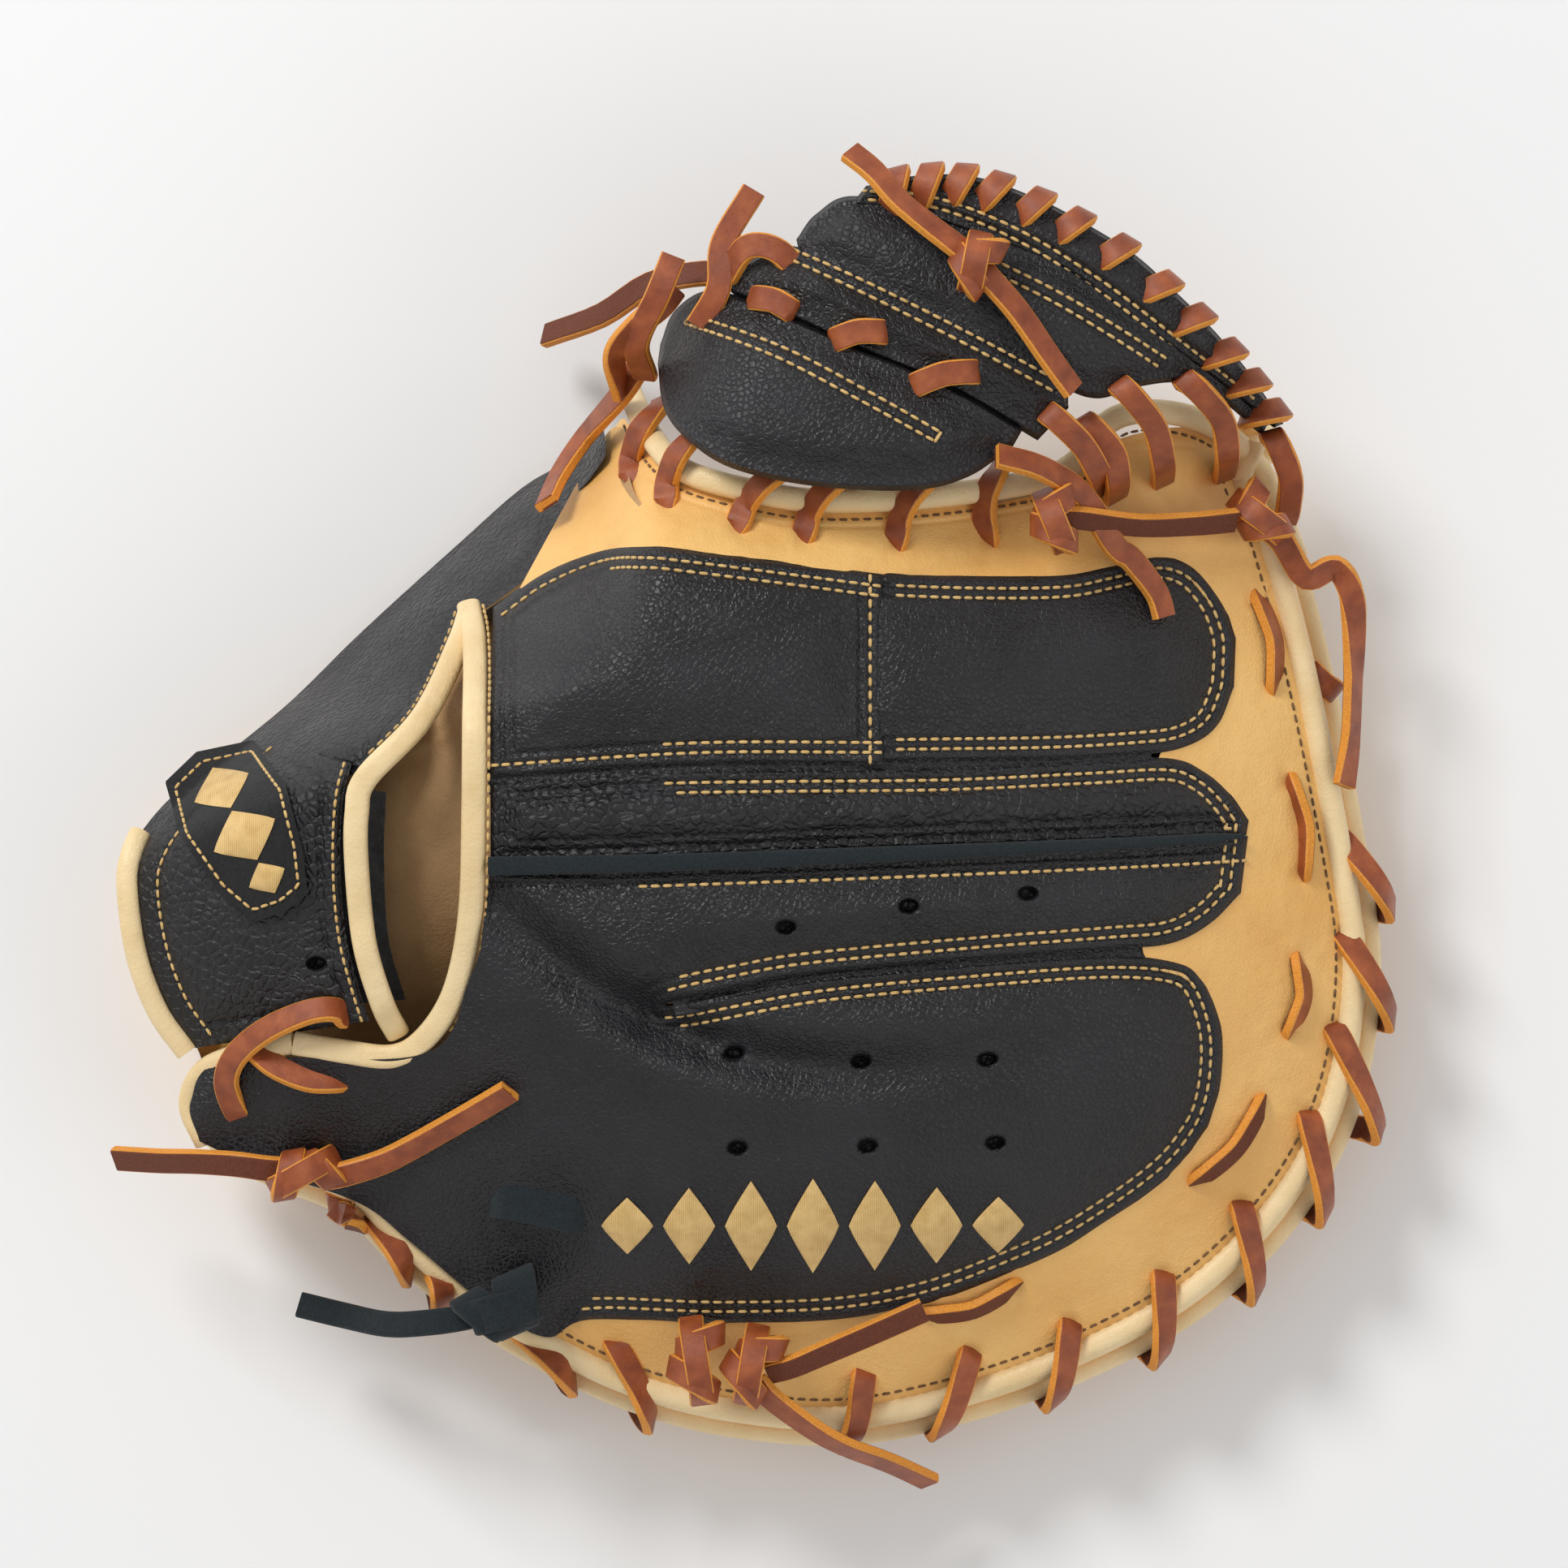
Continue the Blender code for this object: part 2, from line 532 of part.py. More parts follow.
def rim_lace():
    """A lace carried round the rim, over the two rolls at every stitch."""
    line = []
    for k, at in enumerate(spaced(rim_part(-121, -8, 0), RIM_STITCHES)):
        leather = inside([at], EDGE_INSET)[0]
        hole = inside([at], 11)[0]
        out = inside([at], -4.4)[0]
        edge = inside([at], ROLL_INSET)[0]
        over = (*hole, back(*hole) + LACE + 2)
        top = (*edge, back(*leather) + 6.2)
        high = (*out, back(*leather) - 0.4)
        low = (*out, palm(*leather) + 0.6)
        under = (*edge, palm(*leather) - 6)
        line += [over, top, high, low, under] if k % 2 else [under, low, high, top, over]
    return line


def build_laces():
    tube("rim_lace", rim_lace(), LACE, rawhide())
    tube("border_lace", laid(smooth(BORDER_LACE, 2), LACE + 1.2), LACE, rawhide())
    tube("index_side_lace", laid(smooth(CROTCH_LACE, 2), LACE_LIFT), LACE, rawhide())
    tube("web_finger_lace", laid(smooth(WEB_TO_FINGERS, 2), 4, arch), LACE, rawhide())
    tube("strap_lace", laid(smooth(STRAP_LACE, 3), LACE_LIFT, arch), LACE, rawhide())
    for name, (at, size, turn, lift) in KNOTS.items():
        knot(name, (*at, float(arch(*at)) + lift), size, turn, rawhide())
    at = (-68, -128.5)
    knot("little_strap_knot", (*at, float(back(*at)) + 13), (9, 6, 5), 25, suede())
    for name, (points, lifts) in FREE_ENDS.items():
        ground = arch if max(p[1] for p in points) > 40 else back
        line = smooth(np.column_stack([laid(points, 0, ground)[:, :2], laid(points, 0, ground)[:, 2] + lifts]), 3)
        tube(name, line, LACE, suede() if name.startswith("little") else rawhide())


def main():
    build_back()
    build_strap()
    build_palm()
    build_bindings()
    build_web()
    build_laces()
    for obj in MITT.objects:
        obj.location.x -= MIDDLE_OF_PLAN[0] * MM
        obj.location.y -= MIDDLE_OF_PLAN[1] * MM


for old in list(bpy.data.objects):
    bpy.data.objects.remove(old)
MITT = bpy.data.collections.new("catchers_mitt")
bpy.context.scene.collection.children.link(MITT)
main()
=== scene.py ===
"""A left-hander's catcher's mitt, lying palm down: leather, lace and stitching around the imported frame."""
import math

import bpy
import numpy as np
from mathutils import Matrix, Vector


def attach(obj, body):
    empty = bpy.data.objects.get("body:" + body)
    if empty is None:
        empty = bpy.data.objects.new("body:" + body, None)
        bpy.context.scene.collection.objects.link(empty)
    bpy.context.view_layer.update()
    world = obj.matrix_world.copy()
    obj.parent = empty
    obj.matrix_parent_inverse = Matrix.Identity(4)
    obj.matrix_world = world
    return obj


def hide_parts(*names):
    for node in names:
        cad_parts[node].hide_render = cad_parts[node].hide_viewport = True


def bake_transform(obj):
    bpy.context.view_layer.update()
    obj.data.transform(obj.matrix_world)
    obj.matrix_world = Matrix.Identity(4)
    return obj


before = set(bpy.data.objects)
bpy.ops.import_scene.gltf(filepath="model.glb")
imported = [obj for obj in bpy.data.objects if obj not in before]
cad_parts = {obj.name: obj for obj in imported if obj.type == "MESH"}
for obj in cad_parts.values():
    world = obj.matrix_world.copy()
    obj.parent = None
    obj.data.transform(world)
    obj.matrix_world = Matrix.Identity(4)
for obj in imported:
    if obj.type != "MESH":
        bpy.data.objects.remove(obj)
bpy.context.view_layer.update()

MM = 0.001
# The plan points below are in millimetres about the mitt's own middle; this is where that lies.
PLAN_AT = np.array([5.0, 7.25])

# Driving dimensions, in millimetres.
LEATHER = 2.6
LINER = 1.5
PAD = 11.0
ROLL = 3.1
BACK_ROLL_INSET = 7.6
PALM_ROLL_INSET = 3.1
EDGE_INSET = 7.2
LACE_WIDTH = 6.2
LACE_THICK = 2.7
STITCH_PITCH = 3.0
CROWN = (-37.0, 27.0)
CROWN_HEIGHT = 105.0
PALM_HEIGHT = 60.0
BACK_POWER = 1.7
PALM_POWER = 1.9

RIM = [
    (119, 81), (127, 63), (135, 33), (141, 3), (146, -27), (148, -47), (145, -73), (137, -95),
    (123, -115), (103, -133), (77, -147), (47, -158), (17, -164), (-13, -162), (-37, -156),
    (-57, -147), (-77, -135), (-97, -119), (-109, -107), (-133, -97), (-147, -85), (-149, -73),
    (-157, -60), (-163, -45), (-165, -19), (-161, -15), (-153, -4), (-127, 17), (-107, 37),
    (-81, 61), (-65, 75), (-49, 85), (-33, 107), (-13, 127), (7, 139), (19, 147), (33, 150),
    (47, 151), (63, 145), (75, 140), (87, 133), (97, 123), (107, 113), (117, 103), (125, 87),
]
EDGE_HEIGHT = [
    (-180, 15), (-172, 32), (-160, 60), (-138, 50), (-118, 42), (-100, 34), (-74, 28), (-20, 27),
    (10, 29), (19, 36), (28, 66), (36, 80), (50, 88), (65, 90), (76, 84), (87, 62), (100, 28),
    (115, 14), (150, 13), (180, 15),
]
PALM_FLOOR = [(-180, 0), (-165, 5), (-150, 9), (-135, 4), (-122, 0), (15, 0), (30, 30), (80, 30), (100, 0),
    (180, 0)]
PALM_REACH = [(-180, 0.74), (-150, 0.9), (-120, 0.84), (20, 0.82), (60, 0.84), (100, 0.74), (180, 0.74)]
EDGE_LIFT = [
    (-180, 0), (-165, 8), (-140, 24), (-120, 31), (-104, 25), (-90, 20), (0, 19), (18, 13), (60, 10),
    (100, 0), (180, 0),
]
CROTCH = [
    (-38, 99), (-33, 86), (-24, 76), (-5, 71), (10, 69), (34, 70), (60, 74), (72, 79), (80, 86), (98, 90),
    (112, 84),
]
SHELL_SIDE = [(98, 84), (83, 80.6), (75, 74.2), (61, 69), (34, 65), (10, 64), (-7, 66), (-28, 73),
    (-37.6, 85), (-39, 93)]


# ---------------------------------------------------------------- curves and surfaces

def smooth(points, per_span=8, closed=False):
    """A Catmull-Rom curve through the points: on each span, the cubic that leaves and arrives parallel
    to the line between its end points' neighbours."""
    p = np.array(points, float)
    if closed:
        p = np.concatenate([p[-1:], p, p[:2]])
    else:
        p = np.concatenate([2 * p[:1] - p[1:2], p, 2 * p[-1:] - p[-2:-1]])
    t = np.linspace(0, 1, per_span, endpoint=False)[None, :, None]
    a, b, c, d = (q[:, None, :] for q in (p[:-3], p[1:-2], p[2:-1], p[3:]))
    span = 0.5 * (2 * b + (c - a) * t + (2 * a - 5 * b + 4 * c - d) * t**2 + (3 * b - a - 3 * c + d) * t**3)
    line = span.reshape(-1, p.shape[1])
    return line if closed else np.concatenate([line, p[-2:-1]])


def spaced(line, count):
    """The line again, as count points evenly along it."""
    line = np.asarray(line, float)
    along = np.concatenate([[0], np.cumsum(np.linalg.norm(np.diff(line, axis=0), axis=1))])
    at = np.linspace(0, along[-1], count)
    return np.stack([np.interp(at, along, line[:, k]) for k in range(line.shape[1])], axis=1)


def length_of(line):
    return float(np.linalg.norm(np.diff(line, axis=0), axis=1).sum())


ANGLES = np.arange(-180, 180, 0.5)


def around(values, blur):
    """A table over ANGLES: straight lines between the values, weighted by a bell curve blur degrees wide."""
    at, value = np.array(values, float).T
    table = np.interp(ANGLES, at, value, period=360)
    reach = int(3 * blur / 0.5)
    weight = np.exp(-0.5 * (np.arange(-reach, reach + 1) * 0.5 / blur) ** 2)
    wrapped = np.concatenate([table[-reach:], table, table[:reach]])
    return np.convolve(wrapped, weight / weight.sum(), "valid")


def polar(x, y):
    dx = np.asarray(x, float) - CROWN[0]
    dy = np.asarray(y, float) - CROWN[1]
    return np.degrees(np.arctan2(dy, dx)), np.hypot(dx, dy)


def polar_table(line, blur):
    angle, distance = polar(line[:, 0], line[:, 1])
    order = np.argsort(angle)
    return around(np.stack([angle[order], distance[order]], axis=1), blur)


REACH = polar_table(smooth(RIM, 6, closed=True), 1.0)
EDGE_TABLE = around(EDGE_HEIGHT, 4)
FLOOR_TABLE = around(PALM_FLOOR, 5)
PALM_REACH_TABLE = around(PALM_REACH, 6)
LIFT_TABLE = around(EDGE_LIFT, 6)
CROTCH_LINE = smooth(CROTCH, 6)


def look_up(table, angle):
    return np.interp(angle, ANGLES, table, period=360)


def from_crown(x, y):
    angle, distance = polar(x, y)
    return angle, distance / look_up(REACH, angle)


def gap_to(line, x, y):
    """Distance in plan from points to a line, as the least over its straight pieces. A row of NaN breaks it."""
    x, y = np.broadcast_arrays(np.asarray(x, float), np.asarray(y, float))
    a = np.asarray(line, float)[:-1]
    d = np.diff(np.asarray(line, float), axis=0)
    best = np.full(x.shape, 1e9)
    for (ax, ay), (dx, dy) in zip(a[:, :2], d[:, :2]):
        t = np.clip(((x - ax) * dx + (y - ay) * dy) / max(dx * dx + dy * dy, 1e-12), 0, 1)
        best = np.fmin(best, np.hypot(x - ax - t * dx, y - ay - t * dy))
    return best


def ease(value, low, high):
    t = np.clip((value - low) / (high - low), 0, 1)
    return t * t * (3 - 2 * t)


def bell(value, width):
    return np.exp(-((value / width) ** 2))


def arch(x, y):
    """Height of the arch that the back and the web follow: the crown's height, falling with a power of
    the share of the way to the rim."""
    angle, share = from_crown(x, y)
    edge = look_up(EDGE_TABLE, angle)
    return edge + (CROWN_HEIGHT - edge) * (1 - np.clip(share, 0, 1.15) ** BACK_POWER)


def back(x, y):
    """The arch, falling towards the index finger's side edge."""
    return arch(x, y) - 16 * (1 - ease(gap_to(CROTCH_LINE, x, y), 2, 26))


def palm(x, y):
    """The palm's outer face: a hollow that bottoms out on a padded roll, and lifts to the rim."""
    angle, share = from_crown(x, y)
    floor = look_up(FLOOR_TABLE, angle)
    reach = look_up(PALM_REACH_TABLE, angle)
    hollow = floor + (PALM_HEIGHT - floor) * (1 - (share / reach) ** PALM_POWER)
    hollow = np.where(hollow > floor, hollow, floor)
    height = hollow + look_up(LIFT_TABLE, angle) * ease(share, 0.915, 0.965)
    ramp = 1 - ease(gap_to(CROTCH_LINE, x, y), 2, 34)
    return height + np.maximum(back(x, y) - 13 - height, 0) * ramp


def inside(points, inset):
    """The points moved towards the crown in plan."""
    p = np.array(points, float)
    away = p[..., :2] - CROWN
    distance = np.linalg.norm(away, axis=-1, keepdims=True)
    return CROWN + away * (1 - inset / distance)


def rim_part(low, high, inset, count):
    """The rim between two compass angles about the crown, moved inwards."""
    angle = np.linspace(low, high, count)
    reach = look_up(REACH, angle) - inset
    rad = np.radians(angle)
    return np.stack([CROWN[0] + reach * np.cos(rad), CROWN[1] + reach * np.sin(rad)], axis=1)


def wander(x, y, seed, scale):
    """Soft uneven height from -1 to 1: a sum of sines whose directions and phases follow the golden angle."""
    total = np.zeros(np.broadcast(x, y).shape)
    for k in range(6):
        turn = seed * 1.7 + k * 2.39996
        rate = (1 + 0.37 * k) / scale
        across = x * math.cos(turn) + y * math.sin(turn)
        total = total + np.sin(across * rate + seed * 5.1 + k * 1.3) / (1 + 0.5 * k)
    return total / 3.2


# ---------------------------------------------------------------- meshes

def to_frame(points):
    p = np.array(points, float)
    p[..., 0] += PLAN_AT[0]
    p[..., 1] += PLAN_AT[1]
    return p * MM


def add(name, verts, faces, material, uv=None, sides=None, angle=40):
    mesh = bpy.data.meshes.new(name)
    mesh.from_pydata(verts.reshape(-1, 3), [], faces)
    if uv is not None:
        layer = mesh.uv_layers.new(name="UVMap")
        loops = np.empty(len(mesh.loops), np.int32)
        mesh.loops.foreach_get("vertex_index", loops)
        layer.data.foreach_set("uv", np.asarray(uv, np.float32).reshape(-1, 2)[loops].ravel())
    if sides is not None:
        attribute = mesh.attributes.new("side", "FLOAT", "POINT")
        attribute.data.foreach_set("value", np.asarray(sides, np.float32).ravel())
    mesh.materials.append(material)
    mesh.shade_smooth()
    mesh.set_sharp_from_angle(angle=math.radians(angle))
    mesh.update()
    obj = bpy.data.objects.new(name, mesh)
    bpy.context.scene.collection.objects.link(obj)
    return obj


def grid_faces(rows, columns, wrap):
    """Quads of a grid whose points run row by row; wrap joins the last column to the first."""
    i, j = np.meshgrid(np.arange(rows - 1), np.arange(columns if wrap else columns - 1), indexing="ij")
    k = (j + 1) % columns
    quads = np.stack([i * columns + j, i * columns + k, (i + 1) * columns + k, (i + 1) * columns + j],
        axis=-1)
    return quads.reshape(-1, 4)


def swept(path, section, up=None, sides=None, scale=None):
    """A closed section carried along a path, with flat ends, as (verts, faces, uv, side) in plan millimetres.
    section is (n, 2): across and up. Each ring is the section in the plane square to the path there."""
    path = np.asarray(path, float)
    along = np.gradient(path, axis=0)
    along /= np.linalg.norm(along, axis=1, keepdims=True)
    up = np.broadcast_to((0.0, 0, 1) if up is None else np.asarray(up, float), path.shape)
    across = np.cross(along, up)
    across /= np.maximum(np.linalg.norm(across, axis=1, keepdims=True), 1e-9)
    up = np.cross(across, along)
    size = np.ones(len(path)) if scale is None else scale
    part = section[None, :, :] * size[:, None, None]
    verts = (path[:, None] + part[..., :1] * across[:, None] + part[..., 1:] * up[:, None]).reshape(-1, 3)
    n = len(section)
    faces = [tuple(f) for f in grid_faces(len(path), n, True)]
    faces.append(tuple(range(n))[::-1])
    faces.append(tuple(range((len(path) - 1) * n, len(path) * n)))
    run = np.concatenate([[0], np.cumsum(np.linalg.norm(np.diff(path, axis=0), axis=1))])
    uv = np.stack(np.broadcast_arrays(np.linspace(0, 1, n)[None], run[:, None] / 10), axis=-1)
    uv = uv.reshape(-1, 2)
    side = np.zeros(len(verts)) if sides is None else np.broadcast_to(sides[None], (len(path), n)).ravel()
    return verts, faces, uv, side


def joined(name, parts, material, angle=40):
    """One mesh from several swept parts."""
    starts = np.cumsum([0] + [len(part[0]) for part in parts])
    faces = [tuple(i + start for i in face) for part, start in zip(parts, starts) for face in part[1]]
    verts, uv, side = (np.concatenate([part[k] for part in parts]) for k in (0, 2, 3))
    return add(name, to_frame(verts), faces, material, uv, side, angle)


def oval(width, height, count=20, power=2.0):
    """A closed oval, squarer as the power grows. It runs clockwise seen along the path."""
    t = np.linspace(0, 2 * np.pi, count, endpoint=False)
    c, s = np.cos(t), np.sin(t)
    rounded = lambda value: np.sign(value) * np.abs(value) ** (2 / power)
    return np.stack([width / 2 * rounded(c), height / 2 * rounded(s)], axis=1)


def slab(width, height, corner=0.5):
    """A flat lace's section, a rounded rectangle, and the face that each point is on: 0 grain, 0.5 cut edge,
    1 flesh."""
    w, h, c = width / 2, height / 2, corner
    top = [(x, h) for x in np.linspace(w - c, -w + c, 6)]
    left = [(-w, h - c), (-w, 0), (-w, -h + c)]
    bottom = [(x, -h) for x in np.linspace(-w + c, w - c, 6)]
    right = [(w, -h + c), (w, 0), (w, h - c)]
    face = [0.0] * 6 + [0.5] * 3 + [1.0] * 6 + [0.5] * 3
    return np.array(top + left + bottom + right), np.array(face)


def loft(guides, columns, rows):
    """A plan grid whose rows run from the first guide to the last: columns match along the guides, and a smooth
    curve joins each column's points."""
    lines = np.stack([spaced(smooth(g, 8), columns) for g in guides])
    flat = lines.reshape(len(guides), -1)
    crossed = smooth(flat, 12) if len(guides) > 2 else np.linspace(flat[0], flat[1], 13)
    at = np.linspace(0, len(crossed) - 1, rows)
    low = np.minimum(at.astype(int), len(crossed) - 2)
    t = (at - low)[:, None]
    return (crossed[low] * (1 - t) + crossed[low + 1] * t).reshape(rows, columns, 2)


def edge_of(grid):
    """The plan grid's edge as one closed line."""
    return np.concatenate([grid[0], grid[1:, -1], grid[-1, -2::-1], grid[-2::-1, 0]])


def skin(name, plan, height, thickness, material, angle=50):
    """A closed sheet of leather: the plan grid raised to height(x, y), the same grid a thickness lower, and a
    narrow band round the edge between the two."""
    rows, columns = plan.shape[:2]
    z = height(plan[..., 0], plan[..., 1])
    top = np.dstack([plan, z]).reshape(-1, 3)
    under = top - np.array([0, 0, thickness])
    index = np.arange(rows * columns).reshape(rows, columns)
    quads = grid_faces(rows, columns, False)
    ring = np.concatenate([index[0], index[1:, -1], index[-1, -2::-1], index[-2:0:-1, 0]])
    after = np.roll(ring, -1)
    band = np.stack([after, ring, ring + rows * columns, after + rows * columns], axis=-1)
    one, two = plan[0, -1] - plan[0, 0], plan[-1, 0] - plan[0, 0]
    if one[0] * two[1] - one[1] * two[0] < 0:
        quads, band = quads[:, ::-1], band[:, ::-1]
    faces = np.concatenate([quads, quads[:, ::-1] + rows * columns, band])
    uv = np.tile(plan.reshape(-1, 2) / 10, (2, 1))
    return add(name, to_frame(np.concatenate([top, under])), faces.tolist(), material, uv, None, angle)


def sewn(outline, base, puff, reach, rows=(3.0, 5.4), sink=0.7, edge=1.0, seed=1, crease=0.3, slow=0.5):
    """Height of a sewn panel: its full puff in the middle, drawn down along each row of stitches, rounded off at
    the cut edge, with slow swells and small puckers beside the seam."""
    def height(x, y):
        gap = gap_to(outline, x, y)
        z = base(x, y) + puff * ease(gap, 2, reach) - edge * (1 - ease(gap, 0, 1.2))
        for row in rows:
            z = z - sink * bell(gap - row, 0.75)
        z = z + slow * wander(x, y, seed, 12) * ease(gap, 5, 16)
        return z + crease * wander(x, y, seed + 3, 1.5) * bell(gap - 8.5, 4.5)
    return height


def placed(obj, body, slot, *nodes):
    """The piece stands for the CAD nodes and moves with body. slot is not used."""
    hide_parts(*nodes)
    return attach(obj, body)


# ---------------------------------------------------------------- finishes

def node(tree, kind, settings=(), **inputs):
    """A node with its settings, and its inputs set to a value or joined to another node's socket."""
    made = tree.nodes.new("ShaderNode" + kind)
    for key, value in dict(settings).items():
        setattr(made, key, value)
    for key, value in inputs.items():
        socket = made.inputs[key.replace("_", " ")]
        if isinstance(value, bpy.types.NodeSocket):
            tree.links.new(value, socket)
        else:
            socket.default_value = value
    return made


def maths(tree, operation, *values):
    made = tree.nodes.new("ShaderNodeMath")
    made.operation = operation
    for socket, value in zip(made.inputs, values):
        if isinstance(value, bpy.types.NodeSocket):
            tree.links.new(value, socket)
        else:
            socket.default_value = value
    return made.outputs[0]


def ramp(tree, factor, stops):
    """Colour from a factor: stops are (position, linear colour)."""
    made = tree.nodes.new("ShaderNodeValToRGB")
    tree.links.new(factor, made.inputs[0])
    while len(made.color_ramp.elements) < len(stops):
        made.color_ramp.elements.new(0.5)
    for element, (position, colour) in zip(made.color_ramp.elements, stops):
        element.position = position
        element.color = (*colour, 1)
    return made.outputs["Color"]


def noise(tree, place, scale, detail=3.0, rough=0.55):
    return node(tree, "TexNoise", Vector=place, Scale=scale, Detail=detail, Roughness=rough).outputs["Fac"]


def new_finish(name, roughness, **sockets):
    """A Principled material, its tree, its shader and its place in the frame."""
    material = bpy.data.materials.new(name)
    material.use_nodes = True
    tree = material.node_tree
    shader = tree.nodes["Principled BSDF"]
    shader.inputs["Roughness"].default_value = roughness
    for socket, value in sockets.items():
        shader.inputs[socket.replace("_", " ")].default_value = value
    place = node(tree, "TexCoord").outputs["Object"]
    return material, tree, shader, place


def bumped(tree, shader, *layers):
    """Bumps one over another: each layer is (height, distance in metres, strength)."""
    normal = None
    for height, distance, strength in layers:
        bump = node(tree, "Bump", Height=height, Distance=distance, Strength=strength)
        if normal is not None:
            tree.links.new(normal, bump.inputs["Normal"])
        normal = bump.outputs["Normal"]
    tree.links.new(normal, shader.inputs["Normal"])


def leather(name, dark, light, roughness, cell, depth, patch=45, fine=2200, spread=0.12, **sockets):
    """Grained leather: creases between cells of about cell millimetres, broken by a warp; slow patches of colour;
    and a roughness that changes with them."""
    material, tree, shader, place = new_finish(name, roughness, **sockets)
    patches = noise(tree, place, patch, 5.0)
    warp = node(tree, "TexNoise", Vector=place, Scale=900.0, Detail=2.0).outputs["Color"]
    moved = node(tree, "VectorMath", {"operation": "MULTIPLY_ADD"})
    tree.links.new(warp, moved.inputs[0])
    moved.inputs[1].default_value = (0.0009, 0.0009, 0.0009)
    tree.links.new(place, moved.inputs[2])
    cells = node(tree, "TexVoronoi", {"feature": "DISTANCE_TO_EDGE"}, Vector=moved.outputs[0],
        Scale=1000 / cell)
    grain = maths(tree, "SMOOTH_MIN", maths(tree, "MULTIPLY", cells.outputs["Distance"], 5.0), 1.0, 0.4)
    grit = noise(tree, place, fine, 3.0)
    shade = maths(tree, "ADD", patches, maths(tree, "MULTIPLY", grit, 0.22))
    tree.links.new(ramp(tree, shade, [(0.42, dark), (0.78, light)]), shader.inputs["Base Color"])
    low = max(roughness - spread, 0.05)
    varied = node(tree, "MapRange", Value=patches, From_Min=0.3, From_Max=0.7, To_Min=low,
        To_Max=roughness + spread)
    tree.links.new(varied.outputs[0], shader.inputs["Roughness"])
    folds = noise(tree, place, 150.0, 5.0, 0.6)
    bumped(tree, shader, (folds, 0.0014, 0.40), (grain, depth * MM, 0.55), (grit, depth * 0.45 * MM, 0.35))
    return material


def lace_finish():
    """Rawhide: a waxed grain face, a pale fibrous cut edge and a dark suede flesh face, told apart by side."""
    material, tree, shader, place = new_finish("rawhide lace", 0.42, Coat_Weight=0.12, Coat_Roughness=0.35)
    side = node(tree, "Attribute", {"attribute_name": "side"}).outputs["Fac"]
    pull = noise(tree, place, 170.0, 5.0)
    grit = noise(tree, place, 2600.0, 4.0, 0.7)
    worn = maths(tree, "ADD", side, maths(tree, "MULTIPLY", maths(tree, "SUBTRACT", grit, 0.5), 0.14))
    grain = ramp(tree, pull, [(0.25, (0.20, 0.036, 0.008)), (0.5, (0.32, 0.070, 0.016)),
        (0.75, (0.45, 0.115, 0.030))])
    edge = ramp(tree, grit, [(0.3, (0.55, 0.18, 0.016)), (0.5, (0.80, 0.31, 0.034)),
        (0.75, (0.92, 0.42, 0.07))])
    flesh = ramp(tree, grit, [(0.3, (0.075, 0.016, 0.006)), (0.7, (0.22, 0.056, 0.020))])
    outer = node(tree, "MapRange", Value=worn, From_Min=0.12, From_Max=0.20)
    inner = node(tree, "MapRange", Value=worn, From_Min=0.70, From_Max=0.80)
    first = node(tree, "MixRGB", Fac=outer.outputs[0], Color1=grain, Color2=edge)
    both = node(tree, "MixRGB", Fac=inner.outputs[0], Color1=first.outputs[0], Color2=flesh)
    tree.links.new(both.outputs[0], shader.inputs["Base Color"])
    dry = node(tree, "MapRange", Value=side, From_Min=0.15, From_Max=0.5, To_Min=0.40, To_Max=0.88)
    tree.links.new(dry.outputs[0], shader.inputs["Roughness"])
    bumped(tree, shader, (pull, 0.0006, 0.4), (grit, 0.00035, 0.5))
    return material


def fuzz(name, dark, light, scale, depth, sheen=0.3):
    """A napped cloth or suede: short uneven fibres, lighter at their tips."""
    material, tree, shader, place = new_finish(name, 0.95, Sheen_Weight=sheen, Sheen_Roughness=0.6)
    tuft = noise(tree, place, scale, 5.0, 0.7)
    tree.links.new(ramp(tree, tuft, [(0.35, dark), (0.68, light)]), shader.inputs["Base Color"])
    bumped(tree, shader, (noise(tree, place, scale / 6, 3.0), 0.001, 0.35), (tuft, depth * MM, 0.7))
    return material


def thread_finish(name, dark, light):
    """Waxed thread, with the slant of its twist across each stitch."""
    material, tree, shader, place = new_finish(name, 0.5, Sheen_Weight=0.12)
    twist = node(tree, "TexWave", Vector=place, Scale=900.0, Distortion=1.5).outputs["Fac"]
    tone = maths(tree, "ADD", maths(tree, "MULTIPLY", twist, 0.35),
        maths(tree, "MULTIPLY", noise(tree, place, 260.0), 0.65))
    tree.links.new(ramp(tree, tone, [(0.3, dark), (0.6, light)]), shader.inputs["Base Color"])
    bumped(tree, shader, (twist, 0.0002, 0.6))
    return material


BLACK = leather("black leather", (0.0062, 0.0056, 0.0068), (0.0160, 0.0145, 0.0175), 0.40, 1.5, 0.40,
    spread=0.10)
CRINKLED = leather("crinkled black leather", (0.0058, 0.0053, 0.0064), (0.0160, 0.0145, 0.0175), 0.42, 2.6,
    0.95)
TAN = leather("tan leather", (0.84, 0.45, 0.125), (0.96, 0.59, 0.20), 0.50, 1.1, 0.09, patch=28,
    spread=0.07)
LINER_SKIN = leather("glove liner", (0.40, 0.22, 0.09), (0.60, 0.37, 0.17), 0.62, 1.3, 0.10, patch=35)
CREAM = leather("cream binding", (0.82, 0.60, 0.30), (0.93, 0.73, 0.42), 0.44, 1.2, 0.06, patch=60,
    spread=0.06)
LACE = lace_finish()
SUEDE = fuzz("black suede", (0.002, 0.005, 0.007), (0.010, 0.021, 0.027), 1500.0, 0.45, 0.08)
FLEECE = fuzz("black fleece", (0.002, 0.002, 0.0025), (0.018, 0.018, 0.020), 500.0, 1.2, 0.2)
FELT = fuzz("black felt", (0.002, 0.002, 0.0025), (0.012, 0.012, 0.013), 900.0, 0.5, 0.1)
